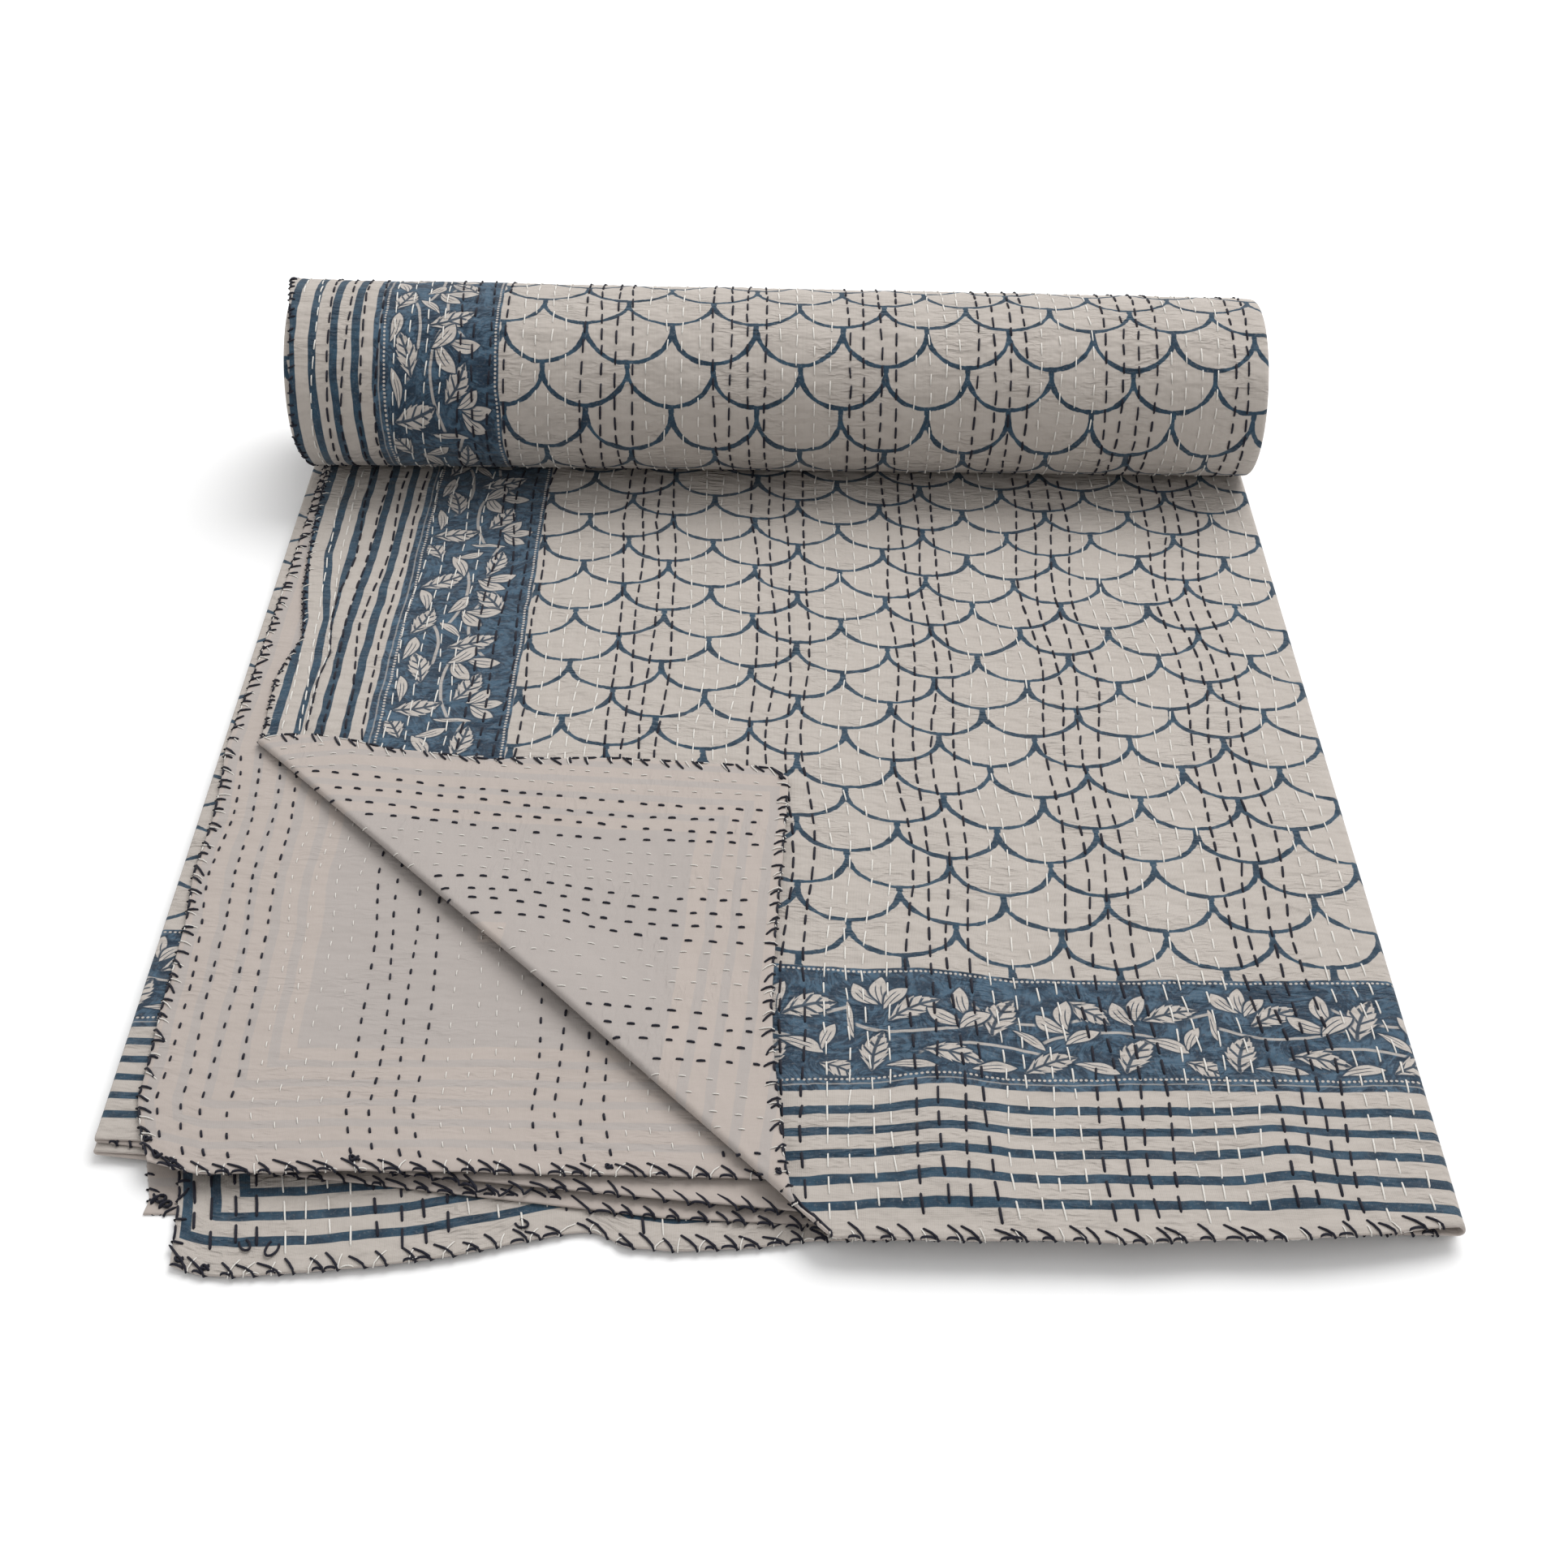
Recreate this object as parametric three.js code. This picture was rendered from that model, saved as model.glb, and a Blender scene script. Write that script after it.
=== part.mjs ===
// A quilted cotton bedspread, folded into a long pile and rolled up from its far end.
//
// The cloth is one hemmed, quilted sheet. It is folded lengthwise twice, which gives four panels
// side by side, then once across, which gives eight layers. The crosswise fold is rolled up over
// the pile towards the front. The front left corner of the top layer is turned back.
//
// x runs left to right, y from the front hems to the roll, z up. Sizes are in millimetres.
import * as THREE from 'three';

// The pile
const PILE_HALF_WIDTH = 283;
const LAYER_PITCH = 1.6;
const CLOTH_THICKNESS = 1.2;
const PILE_MIDDLE = 3.5 * LAYER_PITCH + CLOTH_THICKNESS / 2;
const TURN_BACK_Y = 309;

// The roll: a spiral that starts where the pile leaves the ground
const ROLL_CENTRE_Y = 584;
const ROLL_CENTRE_Z = 61.7;
const ROLL_SKEW = 5.5;
const ROLL_TAPER = 1.3;
const ROLL_TURN_PITCH = 13.2;
const ROLL_TOTAL_DEGREES = 1280;
const OUTER_TURN_STEP = 20;
const INNER_TURN_STEP = 40;

// The turned-back corner of the top layer
const TURN_BACK_LEFT = { x: -262, y: TURN_BACK_Y };
const TURN_BACK_FRONT = { x: 19, y: 11 };
const TURN_BACK_RADIUS = 3.2;
const TURN_BACK_REACH = 181;
const TURN_BACK_SETTLE = 28;
const TURN_BACK_HEM_BOW = 7;
const TURN_BACK_ROWS = 6;

// Rows of the pile between the turned-back corner and the roll, and of its underside
const ROWS_TO_ROLL = 4;
const UNDERSIDE_ROWS_Y = [300, 150, 70];
const ACROSS_FOLD_STEPS = 4;

// Front hems: how far each panel's hem lies from the front line, along the width
const FRONT_HEMS = {
  topHalf: {
    first: [{ x: 19, y: 11 }, { x: 40, y: 0 }, { x: 100, y: -3 }, { x: 182, y: -1 }, { x: 283, y: 4 }],
    second: [{ x: -283, y: 50 }, { x: -150, y: 32 }, { x: 16, y: 12 }, { x: 283, y: 4 }],
    third: [{ x: -283, y: 50 }, { x: -150, y: 44 }, { x: 283, y: 20 }],
    fourth: [{ x: -258, y: 37 }, { x: -235, y: 30 }, { x: 0, y: 28 }, { x: 283, y: 20 }],
  },
  underHalf: {
    first: [{ x: -256, y: 17 }, { x: 0, y: 19 }, { x: 283, y: 10 }],
    second: [{ x: -283, y: 46 }, { x: -100, y: 34 }, { x: 283, y: 10 }],
    third: [{ x: -283, y: 46 }, { x: -128, y: 25 }, { x: 25, y: 7 }, { x: 283, y: 8 }],
    fourth: [
      { x: -242, y: -8 }, { x: -187, y: -13 }, { x: -150, y: -10 }, { x: -110, y: 1 },
      { x: -80, y: 7 }, { x: -48, y: -4 }, { x: -5, y: 1 }, { x: 283, y: 8 },
    ],
  },
};

// Side hems: where the left edge of the first and fourth panels lies, along the length
const SIDE_HEMS = {
  topHalf: {
    first: [
      { y: 309, x: -262 }, { y: 360, x: -265 }, { y: 396, x: -257 }, { y: 443, x: -265 },
      { y: 505, x: -270 }, { y: 600, x: -275 }, { y: 900, x: -279 }, { y: 1300, x: -272 },
    ],
    fourth: [
      { y: 30, x: -258 }, { y: 60, x: -268 }, { y: 120, x: -271 }, { y: 200, x: -275 },
      { y: 309, x: -279 }, { y: 584, x: -276 }, { y: 1000, x: -270 }, { y: 1300, x: -275 },
    ],
  },
  underHalf: {
    first: [
      { y: 10, x: -255 }, { y: 45, x: -263 }, { y: 150, x: -270 }, { y: 584, x: -277 },
      { y: 680, x: -281 }, { y: 760, x: -280 }, { y: 880, x: -276 }, { y: 1300, x: -268 },
    ],
    fourth: [
      { y: -10, x: -242 }, { y: 45, x: -247 }, { y: 150, x: -258 }, { y: 300, x: -266 },
      { y: 584, x: -272 }, { y: 1300, x: -274 },
    ],
  },
};

// Soft rises of the top layer along its front hem
const FRONT_RISES = [{ x: 19, z: 0 }, { x: 85, z: 1.6 }, { x: 151, z: 0.5 }, { x: 217, z: 2.4 }, { x: 283, z: 0 }];

// Columns across the four panels, as shares of each panel's flat width
const PANEL_COLUMNS = {
  first: [0, 0.25, 0.5, 0.75, 1],
  second: [0, 0.5, 1],
  third: [0, 0.5, 1],
  fourth: [0, 0.5, 0.64, 0.7, 0.77, 0.85, 1],
};
const OUTER_FOLD_STEPS = 4;
const INNER_FOLD_STEPS = 3;

const mix = (from, to, share) => from + (to - from) * share;
const radians = (degrees) => (degrees * Math.PI) / 180;

// The value of a short table at a place along it, straight between its rows
function along(table, key, value, at) {
  let before = table[0];
  for (const row of table) {
    if (row[key] >= at) {
      const gap = row[key] - before[key];
      return gap > 0 ? mix(before[value], row[value], (at - before[key]) / gap) : row[value];
    }
    before = row;
  }
  return before[value];
}

// The folded section: every column has its panel, its place across the pile, its height from the
// middle of the pile and the direction in which the printed face looks
const outerFold = { x: PILE_HALF_WIDTH - CLOTH_THICKNESS / 2 - 1.5 * LAYER_PITCH, n: 2 * LAYER_PITCH };
const leftFold = { x: -PILE_HALF_WIDTH + CLOTH_THICKNESS / 2 + 0.5 * LAYER_PITCH, n: LAYER_PITCH };
const innerFold = { x: outerFold.x - 2, n: 2 * LAYER_PITCH };

function flatPanel(panel, height, faceUp) {
  return PANEL_COLUMNS[panel].map((share) => ({ panel, share, n: height * LAYER_PITCH, faceX: 0, faceN: faceUp }));
}

function foldColumns(panel, centre, radius, start, turn, steps, faceSign) {
  const columns = [];
  for (let step = 1; step < steps; step += 1) {
    const angle = radians(start + (turn * step) / steps);
    const out = { x: Math.cos(angle), n: Math.sin(angle) };
    columns.push({
      panel,
      x: centre.x + radius * out.x,
      n: centre.n + radius * out.n,
      faceX: faceSign * out.x,
      faceN: faceSign * out.n,
    });
  }
  return columns;
}

const COLUMNS = [
  ...flatPanel('first', 3.5, 1),
  ...foldColumns('first', outerFold, 1.5 * LAYER_PITCH, 90, -180, OUTER_FOLD_STEPS, 1),
  ...flatPanel('second', 0.5, -1),
  ...foldColumns('second', leftFold, 0.5 * LAYER_PITCH, -90, -180, INNER_FOLD_STEPS, 1),
  ...flatPanel('third', 1.5, 1),
  ...foldColumns('third', innerFold, 0.5 * LAYER_PITCH, -90, 180, INNER_FOLD_STEPS, -1),
  ...flatPanel('fourth', 2.5, -1),
];

// Where a column lies across the pile at a distance from the front
function columnX(column, half, distance) {
  if (column.share === undefined) {
    return column.x;
  }
  const sides = SIDE_HEMS[half];
  const ends = {
    first: () => [along(sides.first, 'y', 'x', distance), outerFold.x],
    second: () => [outerFold.x, leftFold.x],
    third: () => [leftFold.x, innerFold.x],
    fourth: () => [innerFold.x, along(sides.fourth, 'y', 'x', distance)],
  }[column.panel]();
  return mix(ends[0], ends[1], column.share);
}

// The roll at one place along its width
function rollAt(x, degrees) {
  const side = x / PILE_HALF_WIDTH;
  const centre = { y: ROLL_CENTRE_Y - ROLL_SKEW * side, z: ROLL_CENTRE_Z - ROLL_TAPER * side };
  const radius = centre.z - PILE_MIDDLE - (ROLL_TURN_PITCH * degrees) / 360;
  const angle = radians(degrees);
  return {
    y: centre.y + radius * Math.sin(angle),
    z: centre.z - radius * Math.cos(angle),
    inward: { y: -Math.sin(angle), z: Math.cos(angle) },
    onward: { y: Math.cos(angle), z: Math.sin(angle) },
  };
}

// How far along the cloth a place in the spiral lies from the front line
function spiralDistance(degrees) {
  const startRadius = ROLL_CENTRE_Z - PILE_MIDDLE;
  const meanRadius = startRadius - (ROLL_TURN_PITCH * degrees) / 720;
  return ROLL_CENTRE_Y + meanRadius * radians(degrees);
}

// The rows along the cloth, from the top half's front hem to the under half's front hem
function makeRows() {
  const rows = [];
  for (let step = 0; step <= TURN_BACK_ROWS; step += 1) {
    rows.push({ kind: 'hemmed', half: 'topHalf', share: step / TURN_BACK_ROWS, rest: TURN_BACK_Y });
  }
  for (let step = 1; step <= ROWS_TO_ROLL; step += 1) {
    rows.push({ kind: 'flat', half: 'topHalf', share: step / ROWS_TO_ROLL });
  }
  const turns = [];
  for (let degrees = OUTER_TURN_STEP; degrees <= 360; degrees += OUTER_TURN_STEP) {
    turns.push(degrees);
  }
  for (let degrees = 360 + INNER_TURN_STEP; degrees <= ROLL_TOTAL_DEGREES; degrees += INNER_TURN_STEP) {
    turns.push(degrees);
  }
  turns.forEach((degrees) => rows.push({ kind: 'roll', half: 'topHalf', degrees }));
  for (let step = 1; step < ACROSS_FOLD_STEPS; step += 1) {
    rows.push({ kind: 'across', degrees: ROLL_TOTAL_DEGREES, bend: (180 * step) / ACROSS_FOLD_STEPS });
  }
  turns.reverse().forEach((degrees) => rows.push({ kind: 'roll', half: 'underHalf', degrees }));
  rows.push({ kind: 'flat', half: 'underHalf', share: 1 });
  UNDERSIDE_ROWS_Y.forEach((y) => rows.push({ kind: 'plain', half: 'underHalf', y }));
  rows.push({ kind: 'hemmed', half: 'underHalf', share: 0, rest: 0 });
  return rows;
}

// One point of the cloth's middle surface, with the direction of its printed face
function clothPoint(row, column) {
  if (row.kind === 'across') {
    const distance = spiralDistance(row.degrees);
    const x = columnX(column, 'topHalf', distance);
    const roll = rollAt(x, row.degrees);
    const bend = radians(row.bend);
    const lift = {
      y: Math.cos(bend) * roll.inward.y + Math.sin(bend) * roll.onward.y,
      z: Math.cos(bend) * roll.inward.z + Math.sin(bend) * roll.onward.z,
    };
    return {
      place: [x, roll.y + column.n * lift.y, roll.z + column.n * lift.z],
      face: [column.faceX, column.faceN * lift.y, column.faceN * lift.z],
    };
  }
  const sign = row.half === 'topHalf' ? 1 : -1;
  if (row.kind === 'roll') {
    const x = columnX(column, row.half, spiralDistance(row.degrees));
    const roll = rollAt(x, row.degrees);
    const height = sign * column.n;
    return {
      place: [x, roll.y + height * roll.inward.y, roll.z + height * roll.inward.z],
      face: [column.faceX, sign * column.faceN * roll.inward.y, sign * column.faceN * roll.inward.z],
    };
  }
  const flat = flatPlace(row, column);
  return {
    place: [flat.x, flat.y, PILE_MIDDLE + sign * column.n + flat.rise],
    face: [column.faceX, 0, sign * column.faceN],
  };
}

// A point of the lying part of the pile, seen from above
function flatPlace(row, column) {
  if (row.kind === 'plain') {
    return { x: columnX(column, row.half, row.y), y: row.y, rise: 0 };
  }
  if (row.kind === 'flat') {
    const guess = mix(TURN_BACK_Y, ROLL_CENTRE_Y, row.share);
    const x = columnX(column, row.half, guess);
    return { x, y: mix(TURN_BACK_Y, rollAt(x, 0).y, row.share), rise: 0 };
  }
  const hem = FRONT_HEMS[row.half][column.panel];
  const cornerSide = row.half === 'topHalf' && column.panel === 'first' && column.share !== undefined;
  if (cornerSide) {
    const line = bendLine();
    const hemX = mix(line.front.x, outerFold.x, column.share);
    const hemY = mix(line.front.y, along(hem, 'x', 'y', hemX), Math.min(1, column.share * 4));
    const left = mix(line.front.x, line.left.x, row.share);
    return {
      x: mix(left, outerFold.x, column.share),
      y: mix(hemY, line.left.y, row.share),
      rise: along(FRONT_RISES, 'x', 'z', hemX) * Math.max(0, 1 - 3 * row.share),
    };
  }
  const near = columnX(column, row.half, mix(along(hem, 'x', 'y', -PILE_HALF_WIDTH), row.rest, row.share));
  const folded = column.share === undefined || Math.abs(near) > innerFold.x - 0.5;
  const hemY = along(hem, 'x', 'y', folded ? Math.sign(near) * PILE_HALF_WIDTH : near);
  return { x: near, y: mix(hemY, row.rest, row.share), rise: 0 };
}

// The line where the turned-back corner starts to bend, and the unit vector towards the corner
function bendLine() {
  const dx = TURN_BACK_FRONT.x - TURN_BACK_LEFT.x;
  const dy = TURN_BACK_FRONT.y - TURN_BACK_LEFT.y;
  const length = Math.hypot(dx, dy);
  const out = { x: dy / length, y: -dx / length };
  const inset = (point) => ({
    x: point.x - TURN_BACK_RADIUS * out.x,
    y: point.y - TURN_BACK_RADIUS * out.y,
  });
  return { left: inset(TURN_BACK_LEFT), front: inset(TURN_BACK_FRONT), out };
}

// The section of the turned-back corner: how far the cloth has run past the bend line, where it
// then lies beyond the line, how high it lies above the top layer and which way its face looks
function turnBackSection() {
  const radius = TURN_BACK_RADIUS;
  const halfTurn = Math.PI * radius;
  const run = TURN_BACK_REACH - radius;
  const rest = LAYER_PITCH;
  const bends = [45, 90, 135, 180].map((degrees) => {
    const angle = radians(degrees);
    return {
      past: radius * angle,
      beyond: radius * Math.sin(angle),
      height: radius * (1 - Math.cos(angle)),
      faceOut: -Math.sin(angle),
      faceUp: Math.cos(angle),
    };
  });
  const lying = [TURN_BACK_SETTLE, 0.45 * run, 0.75 * run, run].map((reach) => ({
    past: halfTurn + reach,
    beyond: -reach,
    height: rest,
    faceOut: 0,
    faceUp: -1,
  }));
  return [...bends, ...lying];
}

// Building the middle surface as numbered points and triangles
const places = [];
const faces = [];
const triangles = [];

function addPoint(point) {
  places.push(new THREE.Vector3(...point.place));
  faces.push(new THREE.Vector3(...point.face).normalize());
  return places.length - 1;
}

function addQuad(a, b, c, d) {
  triangles.push([a, b, c], [a, c, d]);
}

const rows = makeRows();
const grid = rows.map((row) => COLUMNS.map((column) => addPoint(clothPoint(row, column))));
for (let r = 0; r + 1 < grid.length; r += 1) {
  for (let c = 0; c + 1 < COLUMNS.length; c += 1) {
    addQuad(grid[r][c], grid[r][c + 1], grid[r + 1][c + 1], grid[r + 1][c]);
  }
}

// The turned-back corner: lines parallel to the bend, each shorter than the last, up to the tip
const line = bendLine();
const section = turnBackSection();
const tipPast = section[section.length - 1].past;
const middle = { x: (line.left.x + line.front.x) / 2, y: (line.left.y + line.front.y) / 2 };
const topLevel = PILE_MIDDLE + 3.5 * LAYER_PITCH;
const flatTip = { x: -252.5, y: 33.5 };
const tipSlide = (flatTip.x - middle.x) * line.out.y - (flatTip.y - middle.y) * line.out.x;

function cornerPoint(stage, share) {
  const left = mix(1, 0, stage.past / tipPast);
  const bow = TURN_BACK_HEM_BOW * Math.sin(Math.PI * (1 - left)) * (share - 0.5) * 2;
  const halfLine = Math.hypot(line.left.x - line.front.x, line.left.y - line.front.y) / 2;
  const slide = mix(halfLine * (share - 0.5) * 2, -tipSlide, 1 - left) - bow;
  const run = { x: -line.out.y, y: line.out.x };
  return {
    place: [
      middle.x + run.x * slide + line.out.x * stage.beyond,
      middle.y + run.y * slide + line.out.y * stage.beyond,
      topLevel + stage.height,
    ],
    face: [line.out.x * stage.faceOut, line.out.y * stage.faceOut, stage.faceUp],
  };
}

const runSign = (line.left.x - line.front.x) * -line.out.y + (line.left.y - line.front.y) * line.out.x;
const lineShare = (step) => (runSign > 0 ? step : TURN_BACK_ROWS - step) / TURN_BACK_ROWS;
let lastLine = grid.slice(0, TURN_BACK_ROWS + 1).map((row) => row[0]);
section.slice(0, -1).forEach((stage) => {
  const nextLine = lastLine.map((unused, step) => addPoint(cornerPoint(stage, lineShare(step))));
  for (let step = 0; step < TURN_BACK_ROWS; step += 1) {
    addQuad(nextLine[step], lastLine[step], lastLine[step + 1], nextLine[step + 1]);
  }
  lastLine = nextLine;
});
const tip = addPoint(cornerPoint(section[section.length - 1], 0.5));
for (let step = 0; step < TURN_BACK_ROWS; step += 1) {
  triangles.push([tip, lastLine[step], lastLine[step + 1]]);
}

// Giving the sheet its thickness: a face side, a back side and a wall all round the hem
function thicken() {
  const half = CLOTH_THICKNESS / 2;
  const count = places.length;
  const points = [];
  places.forEach((place, i) => points.push(place.clone().addScaledVector(faces[i], half)));
  places.forEach((place, i) => points.push(place.clone().addScaledVector(faces[i], -half)));
  const index = [];
  const edges = new Map();
  triangles.forEach(([a, b, c]) => {
    index.push(a, b, c, count + a, count + c, count + b);
    [[a, b], [b, c], [c, a]].forEach(([from, to]) => edges.set(`${from}_${to}`, [from, to]));
  });
  edges.forEach(([from, to]) => {
    if (!edges.has(`${to}_${from}`)) {
      index.push(to, from, count + from, to, count + from, count + to);
    }
  });
  return { points, index };
}

const solid = thicken();
const geometry = new THREE.BufferGeometry();
geometry.setAttribute('position', new THREE.Float32BufferAttribute(solid.points.flatMap((p) => p.toArray()), 3));
geometry.setIndex(solid.index);

// The origin: on the ground, in the middle of the outline
geometry.computeBoundingBox();
const box = geometry.boundingBox;
geometry.translate(-(box.min.x + box.max.x) / 2, -(box.min.y + box.max.y) / 2, -box.min.z);
geometry.computeVertexNormals();

const quiltedCotton = new THREE.MeshStandardMaterial({ color: '#b4aca3', roughness: 0.92, metalness: 0 });
const bedspread = new THREE.Mesh(geometry, quiltedCotton);
bedspread.name = 'bedspread';

const group = new THREE.Group();
group.name = 'folded_bedspread';
group.add(bedspread);

export default group;
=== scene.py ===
# %% [markdown]
# # A folded and rolled quilted bedspread
# The bedspread is two thin cotton cloths, one printed and one plain, quilted together by hand
# with long rows of running stitch. It is folded into a long pile of eight layers, and its far
# end is rolled up towards the front. One corner of the top layer is turned back.
#
# A folded cloth could be draped by simulation, but neat folds that somebody pressed by hand are
# easier to hit by drawing the cloth flat and then folding every point of it with a formula. The
# same formula later carries the stitches, so thread and cloth can never come apart.

import math

import bmesh
import bpy
import numpy as np
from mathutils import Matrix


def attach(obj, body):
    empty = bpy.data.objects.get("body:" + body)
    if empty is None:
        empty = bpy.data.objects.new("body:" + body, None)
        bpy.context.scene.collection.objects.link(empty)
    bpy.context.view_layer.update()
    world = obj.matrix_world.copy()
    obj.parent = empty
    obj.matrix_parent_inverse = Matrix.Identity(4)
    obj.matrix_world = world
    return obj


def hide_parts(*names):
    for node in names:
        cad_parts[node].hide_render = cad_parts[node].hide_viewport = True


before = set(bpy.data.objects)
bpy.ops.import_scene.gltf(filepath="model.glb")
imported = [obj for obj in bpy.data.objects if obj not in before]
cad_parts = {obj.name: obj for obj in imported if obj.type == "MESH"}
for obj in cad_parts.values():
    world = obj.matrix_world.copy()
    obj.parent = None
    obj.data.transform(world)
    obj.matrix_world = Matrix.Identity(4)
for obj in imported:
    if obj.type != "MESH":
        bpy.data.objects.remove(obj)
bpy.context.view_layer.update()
print("nodes from the frame:", sorted(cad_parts))

# %% [markdown]
# ## Measures
# Lengths in this lesson are in millimetres, because that is how cloth is measured, and they
# turn to metres when a mesh is made. The pile runs from its front hems (y near 0) to the roll.

# %% Sizes of the pile and the roll
MM = 0.001
FRONT_LINE = 318.72  # from the front line of the pile to the middle of the object
PILE_HALF_WIDTH = 283.0
LAYER_PITCH = 1.6
CLOTH_THICKNESS = 1.2
PILE_MIDDLE = 3.5 * LAYER_PITCH + CLOTH_THICKNESS / 2
CLOTH_LENGTH = 2600.0
HALF_LENGTH = CLOTH_LENGTH / 2
ACROSS_FOLD = 4.0  # half the cloth that the crosswise fold takes

ROLL_CENTRE_Y = 584.0
ROLL_CENTRE_Z = 61.7
ROLL_SKEW = 5.5  # how much nearer its right end lies
ROLL_TAPER = 1.3
ROLL_TURN_PITCH = 13.2
ROLL_RADIUS = ROLL_CENTRE_Z - PILE_MIDDLE

OUTER_FOLD_X = 280.0
LEFT_FOLD_X = -281.6
INNER_FOLD_X = 278.0
OUTER_FOLD_RADIUS = 1.5 * LAYER_PITCH
INNER_FOLD_RADIUS = 0.5 * LAYER_PITCH

# the flat widths across the cloth: four panels with three folds between them
STRIP_WIDTHS = [
    550.0,
    math.pi * OUTER_FOLD_RADIUS,
    OUTER_FOLD_X - LEFT_FOLD_X,
    math.pi * INNER_FOLD_RADIUS,
    INNER_FOLD_X - LEFT_FOLD_X,
    math.pi * INNER_FOLD_RADIUS,
    553.0,
]
STRIPS = np.concatenate([[0.0], np.cumsum(STRIP_WIDTHS)])
CLOTH_WIDTH = float(STRIPS[-1])
print(f"the cloth is {CLOTH_WIDTH:.0f} mm wide and {CLOTH_LENGTH:.0f} mm long")

# %% [markdown]
# ## Camera and light
# The camera stands in front of the pile and looks about 41 degrees down. It comes first, because
# everything after it is judged through it. The light of a plain bright room is a white world
# with one very large soft lamp behind the right shoulder of the object, as wide as a window, so
# that folds, hems and puckers throw short soft shadows towards the front left.


# %% Camera and light
CAMERA_LENS = 47.92
CAMERA_PLACE = (0.0104, -0.8363, 0.6953)  # metres
CAMERA_TILT = 49.3  # degrees up from looking straight down
CAMERA_TURN = 0.27
ROOM_LIGHT = 0.80
WINDOW_PLACE = (0.8, 1.15, 2.25)
WINDOW_SIZE = 2.2
WINDOW_POWER = 60.0


def put_in_scene(name, data):
    thing = bpy.data.objects.new(name, data)
    bpy.context.scene.collection.objects.link(thing)
    return thing


def add_camera():
    data = bpy.data.cameras.new("camera")
    data.sensor_width = 36.0
    data.lens = CAMERA_LENS
    camera = put_in_scene("camera", data)
    camera.location = CAMERA_PLACE
    camera.rotation_euler = (math.radians(CAMERA_TILT), 0.0, math.radians(CAMERA_TURN))
    bpy.context.scene.camera = camera


def add_lamp(name, place, size, power):
    """A round lamp that shines at the middle of the object."""
    data = bpy.data.lights.new(name, "AREA")
    data.shape = "DISK"
    data.size = size
    data.energy = power
    lamp = put_in_scene(name, data)
    lamp.location = place
    x, y, z = place
    lamp.rotation_euler = (math.atan2(math.hypot(x, y), z), 0.0, math.atan2(x, -y))


def add_world(strength):
    world = bpy.data.worlds.new("bright_room")
    world.use_nodes = True
    background = world.node_tree.nodes["Background"]
    background.inputs["Color"].default_value = (1.0, 1.0, 1.0, 1.0)
    background.inputs["Strength"].default_value = strength
    bpy.context.scene.world = world


add_camera()
add_world(ROOM_LIGHT)
add_lamp("window", WINDOW_PLACE, WINDOW_SIZE, WINDOW_POWER)
bpy.context.scene.view_settings.view_transform = "Standard"
print("camera and light are set")

# %% [markdown]
# ## Small helpers
# Four helpers come back all the time: a straight mix of two values, a look-up in a short table
# of measured places, a smooth step, and a soft random wave. The wave is a sum of a few sines with
# seeded directions, so that it is the same in every run and can be asked for at any point.


# %% Helpers
def mix(start, end, share):
    return start + (end - start) * share


def table_value(table, at):
    keys, values = zip(*table)
    return np.interp(at, keys, values)


def ease(start, end, at):
    """0 up to start, 1 from end, smooth between them."""
    share = np.clip((np.asarray(at, float) - start) / (end - start), 0.0, 1.0)
    return share * share * (3.0 - 2.0 * share)


def soft_wave(a, b, wavelength, seed):
    """A random wavy height between 0 and 1."""
    random = np.random.default_rng(seed)
    total = np.zeros(np.broadcast(a, b).shape)
    for _ in range(9):
        turn = random.uniform(0.0, math.tau)
        phase = random.uniform(0.0, math.tau)
        rate = random.uniform(0.65, 1.5) * math.tau / wavelength
        total += np.sin((a * math.cos(turn) + b * math.sin(turn)) * rate + phase)
    return np.clip(0.5 + total / 8.0, 0.0, 1.0)


# %% [markdown]
# ## Where the hems lie
# No hem of a real pile is straight. These short tables hold where the hems lie, measured along
# the pile. The first and fourth panels end in side hems on the left. Every panel has a front
# hem in the top half of the cloth and another one in the half that lies under it.

# %% Tables of the hems
# distance from the front, then x of the hem
SIDE_HEM_FIRST_TOP = [
    (0, -252.5), (9, -259), (40, -260.6), (107, -261.1), (173, -255.6), (231, -260.6),
    (248, -264.7), (272, -268.5), (292, -267.4), (309, -262), (360, -265), (396, -257),
    (443, -265), (505, -270), (600, -275), (900, -279), (1300, -272),
]
SIDE_HEM_FOURTH_TOP = [
    (0, -257), (12, -262), (26, -266), (38, -269), (60, -269), (96, -271), (156, -272),
    (199, -276), (243, -275), (277, -277), (305, -280), (374, -278), (497, -276), (1300, -275),
]
SIDE_HEM_FIRST_UNDER = [
    (0, -256), (10, -255), (45, -263), (150, -270), (584, -277), (640, -281), (700, -287),
    (726, -287.5), (738, -284.5), (771, -279), (792, -278.5), (812, -280), (830, -281),
    (862, -278), (900, -276), (1300, -268),
]
SIDE_HEM_FOURTH_UNDER = [
    (0, -238.5), (15, -240.5), (30, -243), (45, -247), (150, -258), (300, -266), (1300, -274),
]
# the first panel's hem without its small waves, which die out a finger's breadth inside it
SIDE_LINE_TOP = [(0, -258), (309, -266), (600, -274), (900, -279), (1300, -272)]
SIDE_LINE_UNDER = [(0, -258), (150, -268), (584, -277), (900, -279), (1300, -270)]
HEM_WAVE_REACH = 30.0

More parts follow.
